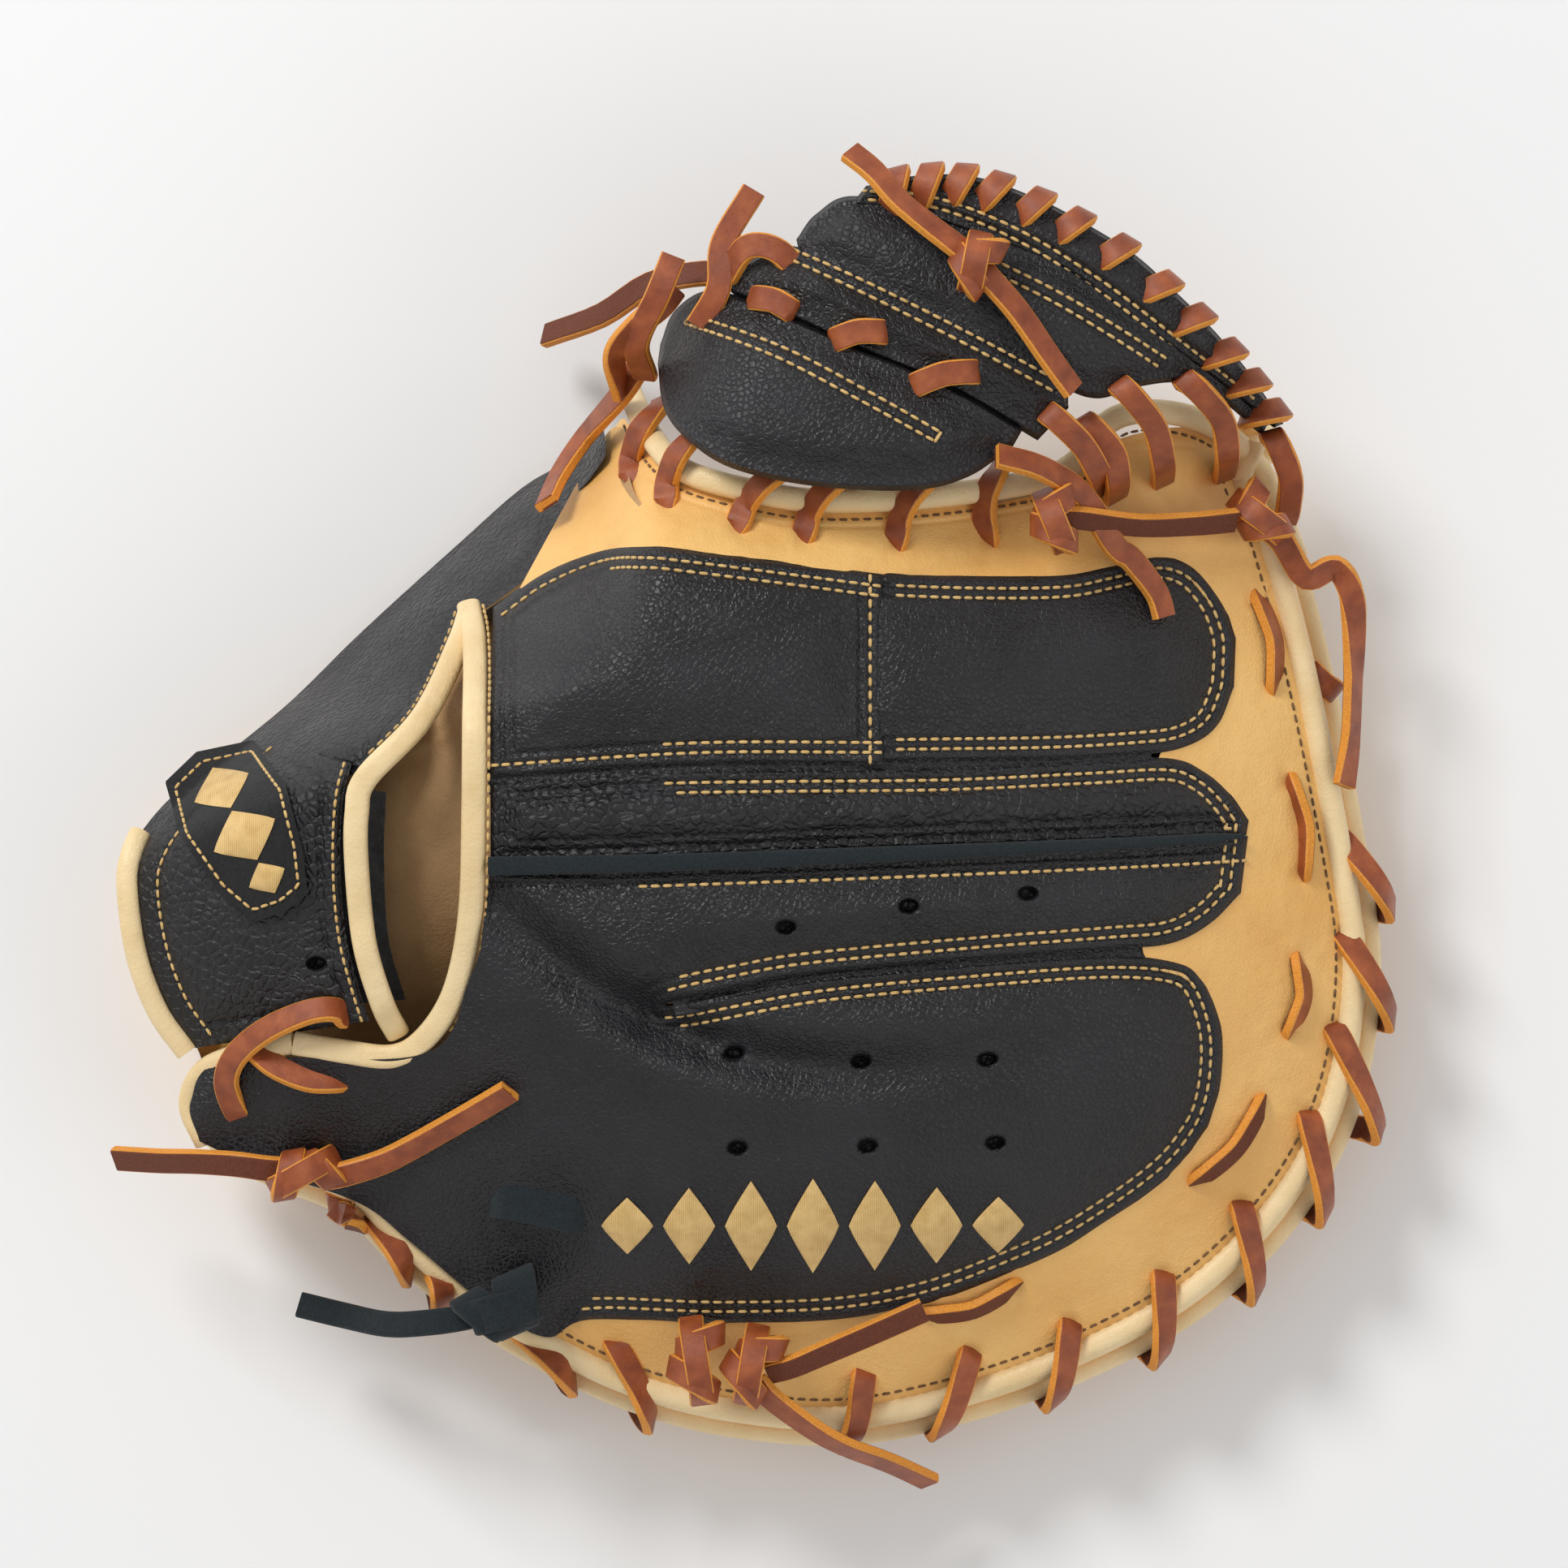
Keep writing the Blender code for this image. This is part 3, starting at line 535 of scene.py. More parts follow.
WOOL = fuzz("wool felt pad", (0.45, 0.42, 0.36), (0.68, 0.64, 0.56), 600.0, 0.5)
THREAD = thread_finish("gold thread", (0.60, 0.35, 0.10), (0.92, 0.63, 0.25))
BROWN_THREAD = thread_finish("brown thread", (0.06, 0.025, 0.008), (0.26, 0.13, 0.045))


# ---------------------------------------------------------------- camera, light and floor

def stand_camera():
    """A long lens straight above the middle of the mitt's plan, its picture's top towards +Y."""
    width = 0.3864
    away = 4.0
    data = bpy.data.cameras.new("camera")
    data.lens = 36 * (away - 0.05) / width
    data.clip_end = 20
    camera = bpy.data.objects.new("camera", data)
    camera.location = (PLAN_AT[0] * MM, PLAN_AT[1] * MM, away)
    bpy.context.scene.collection.objects.link(camera)
    bpy.context.scene.camera = camera


def soft_light(name, at, size, power, colour=(1, 1, 1)):
    data = bpy.data.lights.new(name, "AREA")
    data.shape = "DISK"
    data.size = size
    data.energy = power
    data.color = colour
    light = bpy.data.objects.new(name, data)
    light.location = at
    light.rotation_euler = (-Vector(at)).to_track_quat("-Z", "Y").to_euler()
    bpy.context.scene.collection.objects.link(light)


def light_studio():
    """A broad key from the upper left, a weaker one from the right, and an even pale room."""
    soft_light("key", (-1.1, 1.5, 1.7), 0.8, 33)
    soft_light("fill", (1.7, -0.7, 1.6), 1.6, 6)
    world = bpy.data.worlds.new("room")
    world.use_nodes = True
    room = world.node_tree.nodes["Background"]
    room.inputs["Color"].default_value = (1.0, 1.0, 1.0, 1)
    room.inputs["Strength"].default_value = 0.56
    bpy.context.scene.world = world
    bpy.context.scene.view_settings.view_transform = "Standard"


def lay_floor():
    """A matt white sheet under the mitt."""
    material, _, shader, _ = new_finish("floor", 0.9)
    shader.inputs["Base Color"].default_value = (0.93, 0.93, 0.93, 1)
    shader.inputs["Specular IOR Level"].default_value = 0.1
    corners = np.array([(-3, -3, 0), (3, -3, 0), (3, 3, 0), (-3, 3, 0)], float) - (0, 0, 0.0006)
    add("floor", corners, [(0, 1, 2, 3)], material)


# ---------------------------------------------------------------- laces

LACE_SECTION, LACE_SIDES = slab(LACE_WIDTH, LACE_THICK)
SUEDE_SECTION, SUEDE_SIDES = slab(6.4, 2.0)


def level_across(path):
    """Up vectors for a lace that stays level from edge to edge: square to its run and to the level line that
    crosses its longest reach."""
    along = np.gradient(path, axis=0)
    along /= np.linalg.norm(along, axis=1, keepdims=True)
    chord = path[np.argmax(np.hypot(*(path - path[0])[:, :2].T))] - path[0]
    level = np.array([chord[1], -chord[0], 0.0])
    return np.cross(level / max(np.linalg.norm(level), 1e-9), along)


def rolled(path, up, degrees):
    """Up vectors turned about the path, by degrees given at even steps along it."""
    along = np.gradient(path, axis=0)
    along /= np.linalg.norm(along, axis=1, keepdims=True)
    across = np.cross(along, up)
    across /= np.linalg.norm(across, axis=1, keepdims=True)
    square = np.cross(across, along)
    turn = np.interp(np.linspace(0, 1, len(path)), np.linspace(0, 1, len(degrees)), degrees)
    turn = np.radians(turn)[:, None]
    return square * np.cos(turn) + across * np.sin(turn)


def strand(points, degrees=(0, 0), up=None, step=1.1, section=None, sides=None, per_span=8):
    """A lace through points (plan millimetres, with height), its width level except where degrees roll it."""
    line = smooth(points, per_span)
    line = spaced(line, max(int(length_of(line) / step), 8))
    up = np.tile((0.0, 0, 1), (len(line), 1)) if up is None else up(line)
    section = LACE_SECTION if section is None else section
    sides = LACE_SIDES if sides is None else sides
    return swept(line, section, rolled(line, up, degrees), sides)


def bit(a, b, surface, lift=2.2, bow=0.0, sink=4.0, end_surface=None, degrees=(0, 0)):
    """A short stitch of lace: up out of the leather at a, over in a low hump that may bow sideways, and down at b."""
    end_surface = end_surface or surface
    a, b = np.array(a, float), np.array(b, float)
    run = b - a
    side = np.array([run[1], -run[0]]) / np.linalg.norm(run)
    share = np.array([0.0, 0.0, 0.16, 0.5, 0.84, 1.0, 1.0])
    plan = a + run * share[:, None] + side * (bow * np.sin(np.pi * share))[:, None]
    start, end = float(surface(*a)), float(end_surface(*b))
    ground = start + (end - start) * share
    middle = np.maximum(ground, surface(plan[:, 0], plan[:, 1]))
    height = np.where((share > 0.1) & (share < 0.9), middle, ground)
    height = height + np.array([-sink, -0.6, lift * 0.75, lift, lift * 0.75, -0.6, -sink])
    return strand(np.column_stack([plan, height]), degrees, level_across)


def wrapped(centre, heading, across, high, tilt=0.0, width=LACE_WIDTH):
    """One turn of lace wound round a knot: an oval loop in the plane square to heading, grain outwards."""
    t = np.radians(np.linspace(-112, 248, 30))
    rad = math.radians(heading)
    ahead = np.array([math.cos(rad), math.sin(rad), 0])
    beside = np.array([-math.sin(rad), math.cos(rad), 0])
    out = np.cos(t)[:, None] * beside + np.sin(t)[:, None] * np.array([0, 0, 1.0])
    loop = across * np.cos(t)[:, None] * beside + high * np.sin(t)[:, None] * np.array([0, 0, 1.0])
    loop = np.array(centre) + loop + ahead * (tilt * np.cos(t)[:, None])
    section, sides = slab(width, LACE_THICK)
    return swept(loop, section, out, sides)


def knotted(centre, heading, length, across, high, tilt=2.2):
    """A pulled-tight knot: two turns side by side over a core, and one crossing them on top."""
    rad = math.radians(heading)
    ahead = np.array([math.cos(rad), math.sin(rad), 0])
    beside = np.array([-math.sin(rad), math.cos(rad), 0])
    centre = np.array(centre, float)
    near = wrapped(centre - ahead * length * 0.24, heading, across, high * 0.92, tilt)
    far = wrapped(centre + ahead * length * 0.26, heading + 8, across * 0.86, high * 0.8, -tilt)
    rise = np.array([0, 0, high])
    over = [
        centre - ahead * length * 0.5 - beside * across * 0.55 - rise * 0.3,
        centre - ahead * length * 0.34 - beside * across * 0.4 + rise * 0.75,
        centre + rise * 1.32,
        centre + ahead * length * 0.34 + beside * across * 0.4 + rise * 0.7,
        centre + ahead * length * 0.5 + beside * across * 0.55 - rise * 0.4,
    ]
    return [near, far, strand(np.array(over), (0, 0), level_across)]


# Free ends of the laces: plan points and how high each lies over the back.
FREE_ENDS = {
    "web_lace_end_upper": ([(42.5, 130.5), (29, 141), (22, 149), (16, 154)], [7, 8, 9, 10]),
    "web_lace_end_lower": ([(50, 123), (57, 115), (65, 103.5), (70.5, 96)], [7, 6, 6, 7]),
    "thumb_lace_end_long": ([(-20, 125), (-33, 123), (-45, 116), (-59, 111.5)], [3, 6, 11, 12]),
    "thumb_lace_end_low": ([(-40, 96), (-49, 86), (-55, 77), (-58.5, 69)], [10, 15, 18, 20]),
    "index_lace_end_long": ([(73, 65), (87, 63.5), (101, 64), (111, 65)], [8, 7, 7, 7.5]),
    "index_lace_end_short": ([(81, 58.4), (85, 55.4), (89, 50.6), (92, 46), (93.4, 41)],
    [6, 5.6, 5, 4.6, 4.6]),
    "tip_lace_end": (
        [(123, 60), (129, 51), (136, 53.6), (140, 48), (141, 38), (140.6, 21), (140, 10), (138.5, -0.5)],
        [9, 10, 14, 15, 13, 9, 8, 8],
    ),
    "heel_lace_end_left": ([(-127.5, -94.5), (-135, -93.5), (-145, -93), (-154, -93), (-165, -92.6)],
    [10, 10, 7, 3, 0]),
    "heel_lace_end_right": ([(-108.5, -96), (-99, -93), (-91, -89), (-77, -81), (-67, -75)],
    [9, 7, 5.4, 5, 6]),
    "low_lace_end_upper": ([(2, -143.4), (9, -140.5), (22, -135), (34.5, -129.5)], [11, 9, 6, 4.6]),
    "low_lace_end_lower": ([(-3, -151.5), (7, -159), (15, -163.5), (26, -168), (36, -173)],
    [14, 15, 14, 8, 2]),
    "little_strap_end": ([(-79, -131.4), (-88, -132.8), (-98, -133.4), (-109, -131.5), (-120, -129)],
    [15, 15, 12, 6, 3]),
}
# Where each end comes out of its knot or from under the leather, before the free points; its body and its roll.
ROOTS = {
    "web_lace_end_upper": ([(47, 127)], [5], "web", (30, 42, 32)),
    "web_lace_end_lower": ([(46, 127.5)], [6], "web", (-26, -32, -38)),
    "thumb_lace_end_long": ([(-13, 124)], [-3], "thumb", (200, 205, 215)),
    "thumb_lace_end_low": ([(-35.5, 103)], [6], "thumb", (30, 55, 60)),
    "index_lace_end_long": ([(67, 65)], [6], "fingers", (-140, -138, -145)),
    "index_lace_end_short": ([(52, 80), (63, 77), (73, 70.5)], [4, 4.5, 3.5], "fingers",
    (-30, -30, -20, -25, -40)),
    "tip_lace_end": ([(118, 64)], [7], "fingers", (10, 20, 30, -30, -60, -60, -40)),
    "heel_lace_end_left": ([(-121, -95)], [9], "fingers", (160, 150, 150)),
    "heel_lace_end_right": ([(-114, -97)], [8], "fingers", (20, 32, 34)),
    "low_lace_end_upper": ([(-4, -145)], [11], "fingers", (-142, -150, -154)),
    "low_lace_end_lower": ([(-7, -147)], [12], "fingers", (34, 56, 50)),
    "little_strap_end": ([(-72, -129.5)], [14], "fingers", (-10, 0, 10)),
}


def free_end_path(name):
    """The free end's centreline in the frame, from inside its knot to its cut tip."""
    points, lifts = FREE_ENDS[name]
    first, first_lifts, _, _ = ROOTS[name]
    ground = arch if max(p[1] for p in points) > 40 else back
    plan = np.array(first + points, float)
    height = ground(plan[:, 0], plan[:, 1]) + np.array(first_lifts + lifts, float)
    return smooth(np.column_stack([plan, height]), 4)


def tie_free_ends():
    """Each loose lace end: a flat strip of its real length, from the knot it leaves."""
    for name in FREE_ENDS:
        suede = name.startswith("little")
        line = free_end_path(name)
        line = spaced(line, max(int(length_of(line) / 1.1), 24))
        section, sides = (SUEDE_SECTION, SUEDE_SIDES) if suede else (LACE_SECTION, LACE_SIDES)
        up = rolled(line, np.tile((0.0, 0, 1), (len(line), 1)), ROOTS[name][3])
        end = joined(name + "_lace", [swept(line, section, up, sides)], SUEDE if suede else LACE)
        placed(end, ROOTS[name][2], "black_suede" if suede else "rawhide_lace", name)
        path = to_frame(line)


stand_camera()
light_studio()
lay_floor()
tie_free_ends()


# ---------------------------------------------------------------- stitches

def stitch_rows(name, runs, material, body, slot, pitch=STITCH_PITCH, length=2.3, thick=0.78):
    """Rows of stitches as one mesh: on each run (points with height) small rounded bars, their middles high and
    their ends sunk. Each bar is four rings of six points: half width times 0.45, 1, 1, 0.45."""
    ring = np.radians(np.arange(0, 360, 60))
    reach = np.array([-0.5, -0.3, 0.3, 0.5]) * length
    fat = np.array([0.4, 1, 1, 0.4]) * thick / 2
    rise = np.array([-0.34, 0.06, 0.06, -0.34])
    verts = []
    for run in runs:
        count = max(int(length_of(run) / pitch), 2)
        line = spaced(run, 2 * count + 1)
        centre = line[1::2]
        along = line[2::2] - line[:-2:2]
        along /= np.linalg.norm(along, axis=1, keepdims=True)
        across = np.cross(along, (0, 0, 1.0))
        across /= np.linalg.norm(across, axis=1, keepdims=True)
        up = np.cross(across, along)
        spot = centre[:, None, None] + along[:, None, None] * reach[None, :, None, None]
        spot = spot + across[:, None, None] * (fat[:, None] * np.cos(ring))[None, :, :, None]
        high = fat[:, None] * np.sin(ring) * 0.8 + rise[:, None]
        spot = spot + up[:, None, None] * high[None, :, :, None]
        verts.append(spot.reshape(-1, 3))
    verts = np.concatenate(verts)
    one = [tuple(f)[::-1] for f in grid_faces(4, 6, True)] + [tuple(range(6)), tuple(range(18, 24))[::-1]]
    faces = [tuple(i + 24 * k for i in f) for k in range(len(verts) // 24) for f in one]
    stitches = add(name, to_frame(verts), faces, material, None, None, 60)
    return placed(stitches, body, slot)


def raised(line, surface, lift=0.35):
    line = np.asarray(line, float)
    return np.column_stack([line, surface(line[:, 0], line[:, 1]) + lift])


def shifted(line, amount):
    """The plan line moved sideways: to the left of its run for a positive amount."""
    line = np.asarray(line, float)
    along = np.gradient(line, axis=0)
    along /= np.linalg.norm(along, axis=1, keepdims=True)
    return line + np.stack([-along[:, 1], along[:, 0]], axis=1) * amount


# ---------------------------------------------------------------- back of the hand

INDEX_LOW = [(-71.5, 1.5), (-21, 4.6), (24, 4.7)]
INDEX_HIGH = [(-71.5, 43.5), (-60, 51.5), (-45, 57.5), (-33, 58), (-21, 56.8), (24, 51.2)]
TIP_LOW = [(12, 5.2), (40, 5.6), (66, 6), (86.8, 7.2), (98, 8.8), (106.5, 14), (111, 24)]
TIP_HIGH = [(12, 52.2), (40, 51), (66.8, 51.2), (80, 53.6), (92, 56.2), (101, 53.6), (108, 45.5),
    (111.5, 36)]
MIDDLE_LOW = [(-71.5, -19.6), (-40, -18.6), (-13, -17.6), (46.8, -15.4), (90, -13.8), (114, -12.6)]
MIDDLE_HIGH = [(-71.5, 0.3), (-45, 2.2), (-27, 3.2), (0, 3.6), (40, 4), (75, 5.6), (95, 6.4), (104, 3),
    (110, -2.4), (114.6, -9)]
RING_LOW = [
    (-74, -40), (-54, -50), (-41, -55.4), (-31, -55.6), (-27, -53), (-10, -49.4), (6.8, -46.6),
    (46.8, -43), (80, -40.6),
    (95, -39.2), (104.8, -34.4), (112.6, -26.8),
]
RING_HIGH = [(-71.5, -19), (-40, -19), (-13, -18.2), (46.8, -16), (90, -14.2), (114.4, -12.8)]
LITTLE_GUIDES = [
    [
        (-144, -88), (-130, -94.6), (-105, -103.2), (-92, -113), (-74, -128), (-59, -136.6), (-48, -132.2),
        (-16, -133), (13.4, -132), (35.6, -128), (56, -120.4), (72.8, -112.4), (94.8, -97), (105, -84.4),
    ],
    [(-146, -78), (-118, -86), (-80, -98), (-40, -106), (0, -106), (40, -99), (78, -86), (107.6, -74)],
    [(-136, -67.5), (-104, -74), (-76, -80), (-44, -82), (-8, -78), (40, -70), (78, -64), (108, -62)],
    [(-88, -66), (-66, -62), (-46, -60.4), (-28, -59), (6.8, -52.4), (46.8, -48), (80, -46.4), (106, -54)],
    [(-76, -46), (-71, -38), (-53, -44.4), (-38, -51), (-29, -54.2), (6.8, -47.8), (46.8, -44), (80, -42),
    (98, -43.8), (104, -49)],
]


def vented(base, spots):
    """The height with a small round sunk hole at each spot."""
    def height(x, y):
        z = base(x, y)
        for at_x, at_y in spots:
            gap = np.hypot((x - at_x) / 1.45, y - at_y)
            z = z - 4.0 * (1 - ease(gap, 1.1, 1.9)) + 0.2 * bell(gap - 2.6, 0.9)
        return z
    return height


def creased(base, line, depth, width):
    """The height with a soft fold along a plan line, deepest at its middle, and small creases that run into it."""
    def height(x, y):
        gap = gap_to(line, x, y)
        share = bell(x + 22, 58)
        small = 0.42 * wander(x * 1.3, y * 0.45, 61, 1.7) * bell(gap - 3, 9) * bell(x + 38, 34)
        fold = 0.3 * bell(gap - 11, 6) - bell(gap, width)
        return base(x, y) + depth * fold * share + small
    return height


def edges(plan, *parts):
    """A line along parts of a plan grid's edge, in the order given: (side, lowest x kept). The sides run on from
    each other as low, right, high, left."""
    sides = {"low": plan[0], "right": plan[:, -1], "high": plan[-1][::-1], "left": plan[::-1, 0]}
    line = np.concatenate([sides[part][sides[part][:, 0] >= least] for part, least in parts])
    return spaced(line, 220)


def back_panel(name, plan, line, node_name, puff, reach, seed, change=None, material=None, **more):
    """One black panel of the back, and its height for whatever lies on it. line is where it is sewn down."""
    height = sewn(line, back, puff, reach, seed=seed, **more)
    if change:
        height = change(height)
    placed(skin(name, plan, height, 2.4, material or BLACK), "fingers", "black_leather", node_name)
    return height, plan


VENTS_RING = [(0.4, -34.8), (30.4, -29.8), (59.6, -26.8)]
VENTS_LITTLE = [(-11.4, -89), (20.4, -88.6), (51.8, -88), (-12.2, -65.8), (18.8, -67.8), (49.8, -67.4)]
VALLEY = smooth([(-73, -28), (-65, -35), (-41, -53), (-13, -65), (19, -69), (50, -67), (72, -62)], 6)
ANY = -999


def cover_fingers():
    """The five black panels. The ring and little fingers' are one leather, slit between the fingers. They share
    the line that their puff is measured from, and one laps over the other where there is no slit."""
    plans = {
        "tip": loft([TIP_LOW, TIP_HIGH], 300, 130),
        "near": loft([INDEX_LOW, INDEX_HIGH], 270, 130),
        "middle": loft([MIDDLE_LOW, MIDDLE_HIGH], 460, 64),
        "ring": loft([RING_LOW, RING_HIGH], 420, 76),
        "little": loft(LITTLE_GUIDES, 470, 190),
    }
    whole = {key: spaced(edge_of(plan), 260) for key, plan in plans.items()}
    ring = edges(plans["ring"], ("low", -28), ("right", ANY), ("high", ANY))
    little = edges(plans["little"], ("low", -50), ("right", ANY), ("high", -30))
    slit = np.concatenate([ring, [[np.nan, np.nan]], little])
    under = lambda base: lambda x, y: base(x, y) - 2.6 * (1 - ease(x, 15, 26))
    flap = lambda base: lambda x, y: base(x, y) + 1.3 * ease(x, 14, 22)
    lapped = lambda base: lambda x, y: vented(creased(base, VALLEY, 5.6, 5.6), VENTS_RING)(x, y) + 0.15
    soft = lambda base: vented(creased(base, VALLEY, 5.6, 5.6), VENTS_LITTLE)
    outer = {"puff": 3.3, "reach": 16, "seed": 8, "crease": 0.45, "slow": 0.8}
    return {
        "tip": back_panel(
            "index_tip_cover", plans["tip"], whole["tip"], "index_panel_tip", 3.4, 20, 2, under),
        "near": back_panel(
            "index_near_cover", plans["near"], whole["near"], "index_panel_near", 3.0, 22, 1, flap),
        "middle": back_panel("middle_cover", plans["middle"], whole["middle"], "middle_panel", 2.4, 10, 4,
                             None, CRINKLED, crease=0.6, slow=0.7),
        "ring": back_panel("ring_cover", plans["ring"], slit, "ring_panel", change=lapped, **outer),
        "little": back_panel(
            "little_cover", plans["little"], slit, "little_finger_panel", change=soft, **outer),
    }


def sew_back(heights):
    """The gold stitches that follow the panels' edges."""
    runs = []
    for key, inset, *parts in (
        ("tip", 3.0, ("low", 27), ("right", ANY), ("high", 27)),
        ("tip", 5.4, ("low", 27), ("right", ANY), ("high", 27)),
        ("near", 3.0, ("low", ANY)),
        ("near", 5.4, ("low", -30)),
        ("near", 3.0, ("high", ANY)),
        ("near", 5.4, ("high", -44)),
        ("near", 3.0, ("right", ANY)),
        ("middle", 3.0, ("right", ANY), ("high", -30)),
        ("middle", 5.4, ("right", ANY), ("high", -27)),
        ("ring", 3.0, ("low", -28), ("right", ANY)),
        ("ring", 5.4, ("low", -25), ("right", ANY)),
        ("ring", 6.0, ("high", -36)),
        ("little", 3.0, ("low", -50), ("right", ANY), ("high", -30)),
        ("little", 5.4, ("low", -48), ("right", ANY), ("high", -27)),
    ):
        height, plan = heights[key]
        line = shifted(edges(plan, *parts), inset)
        line = spaced(smooth(spaced(line, 60), 4), 200)
        runs.append(raised(line, height, 0.3))
    stitch_rows("back_stitches", runs, THREAD, "fingers", "gold_thread")


def back_slits():
    """Black leather behind the two slits between the fingers' panels."""
    strip = oval(7.0, 1.2, 12, 4.0)
    parts = []
    slits = [
        [(-72, 0.9), (-20, 4.2), (24, 4.6), (90, 6.6)],
        [(-27, -53.4), (6.8, -47.6), (46.8, -43.9), (88, -41.6)],
    ]
    for line in slits:
        line = spaced(smooth(line, 8), 120)
        parts.append(swept(raised(line, back, -1.9), strip))
    placed(joined("slit_backing", parts, BLACK), "fingers", "black_leather")


def edge_flap(heights):
    """The raised cut edge of black suede where the middle finger's panel laps over the ring finger's."""
    line = spaced(smooth([(-72, -20), (-40, -19.4), (-13, -18.6), (46.8, -16.2), (90, -14.2),
        (113.4, -12.8)], 8), 240)
    top = back(line[:, 0], line[:, 1]) + 1.5
    path = np.column_stack([line, top])
    narrow = np.interp(line[:, 0], [-72, 20, 105, 114], [1.0, 0.86, 0.55, 0.2])
    strip = joined("middle_cut_edge", [swept(path, oval(4.6, 3.0, 14, 3.0), scale=narrow)], SUEDE)
    placed(strip, "fingers", "black_suede")


BORDER_HOLES = [
    (137.4, -13), (138, -37), (135.6, -60), (129.4, -81.4), (112.8, -103.6), (93.6, -121), (70.8, -133),
    (46.2, -140),
    (116.8, 46.2), (120.8, 24.2), (124.8, 0.2), (127.8, -21.8), (126.8, -43.8), (124.8, -60.8),
    (117.8, -78.8),
    (101.8, -97.8), (56.8, -123.8), (34.8, -130.8),
]


def wrap_border():
    """The tan border: from under the panels out to the back roll, dipping towards both edges."""
    inner = [
        (-56, -128), (-16, -127), (13, -126), (34, -122), (66, -108), (88, -92), (99, -80), (101, -66),
        (97, -52),
        (88, -40), (98, -28), (106, -18), (106, -8), (98, -2), (92, 6), (101, 18), (103, 30), (99, 44),
        (93, 52),
    ]
    outer = rim_part(-103, 24, 6.4, 140)
    plan = loft([outer, inner], 420, 46)
    groove = rim_part(-110, 26, 10.6, 140)
    drop = rim_part(-110, 26, 5.5, 140)

    def height(x, y):
        z = back(x, y) - 1.0 - 1.6 * (1 - ease(gap_to(drop, x, y), 0.5, 5))
        z = z - 0.45 * bell(gap_to(groove, x, y), 0.7)
        near = np.min([np.hypot(x - a, y - b) for a, b in BORDER_HOLES], axis=0)
        z = z + 0.34 * wander(x, y, 15, 1.5) * bell(near - 3, 5) - 1.3 * bell(near, 2.2)
        return z + 0.55 * wander(x, y, 3, 7) * ease(gap_to(drop, x, y), 4, 12)
    piece = skin("border_cover", plan, height, 1.8, TAN)
    placed(piece, "fingers", "tan_leather", "back_border")
    return height


SIDE_HOLES = [(-37.6, 74.6), (-28.8, 68.4), (-11.4, 62.8), (4.8, 60.4), (27.4, 58.8), (50, 60.2)]


def wrap_index_side():
    """The tan side of the index finger, from under its panels down to the rolled edge at the web."""
    low = [(-65, 48), (-58, 50.5), (-46, 53), (-21, 52), (22, 46.6), (66, 46.6), (84, 50), (96, 50),
        (106, 47), (117, 44)]
    high = [
        (-46.6, 83), (-41.6, 88.4), (-34.4, 83.4), (-25, 74.6), (-6, 69), (10, 67.2), (34, 68.2), (60, 72),
        (71, 76.6),
        (80, 84), (98, 88), (109, 84), (117, 75), (121.5, 64), (124, 55),
    ]
    plan = loft([low, high], 380, 74)
    rim = spaced(smooth(high, 6), 120)

    def height(x, y):
        gap = gap_to(rim, x, y)
        z = back(x, y) - 0.9 - 1.4 * (1 - ease(gap, 0.5, 4)) - 0.4 * bell(gap - 4.4, 0.6)
        dimples = 0.5 * wander(x, y, 5, 4.2) * bell(gap - 9, 5)
        near = np.min([np.hypot(x - a, y - b) for a, b in SIDE_HOLES], axis=0)
        puckers = 0.36 * wander(x, y, 17, 1.6) * bell(near - 3, 5) - 1.2 * bell(near, 2.2)
        return z + dimples + puckers + 0.45 * wander(x, y, 7, 9)
    piece = skin("index_side_cover", plan, height, 1.8, TAN)
    placed(piece, "fingers", "tan_leather", "index_side_wall")
    return height


def cover_thumb():
    """The thumb's black back, crinkled, from the wrist opening's edge over to the rim."""
    guides = [
        rim_part(97, 200, 1.0, 90)[::-1],
        rim_part(98, 199, 9.0, 90)[::-1],
        [(-136, -12), (-120, -4), (-103.6, 3.4), (-97, 9), (-89.6, 18.6), (-80.8, 37.6), (-70, 45.5),
        (-60, 55), (-52, 77)],
    ]
    plan = loft(guides, 240, 110)
    outline = spaced(edge_of(plan), 200)

    def height(x, y):
        gap = gap_to(outline, x, y)
        fold = 0.9 * wander(x, y, 9, 5.5) + 0.5 * wander(x, y, 12, 2.4) + 0.22 * wander(x, y, 14, 0.9)
        under_strap = ease(-(0.34 * (x + 129) + 0.94 * (y - 13.4)), -1, 5)
        return arch(x, y) - 0.4 - 2.5 * (1 - ease(gap, 0, 6)) + fold * ease(gap, 2, 8) - 4.5 * under_strap
    piece = skin("thumb_cover", plan, height, 2.2, CRINKLED)
    placed(piece, "thumb", "black_leather", "thumb_back")
    return height


HEIGHTS = cover_fingers()
sew_back(HEIGHTS)
edge_flap(HEIGHTS)
back_slits()
BORDER_HEIGHT = wrap_border()
SIDE_HEIGHT = wrap_index_side()
THUMB_HEIGHT = cover_thumb()


# ---------------------------------------------------------------- rolled bindings

def roll(name, line, height, section, material, body, slot, *nodes, step=1.5):
    """A rolled or folded strip along a plan line, at the height given there."""
    line = spaced(line, max(int(length_of(np.asarray(line, float)) / step), 8))
    path = np.column_stack([line, height(line[:, 0], line[:, 1])])
    return placed(joined(name, [swept(path, section)], material), body, slot, *nodes)


def rim_heights(x, y):
    """Heights of the rim's two rolls where they lie against the leather: the palm's, then the back's."""
    leather_x, leather_y = inside(np.stack([x, y], axis=-1), EDGE_INSET).T
    low = palm(leather_x, leather_y) + 1.2
    return low, np.maximum(back(leather_x, leather_y) - 1.8, low + 2 * ROLL + 0.4)


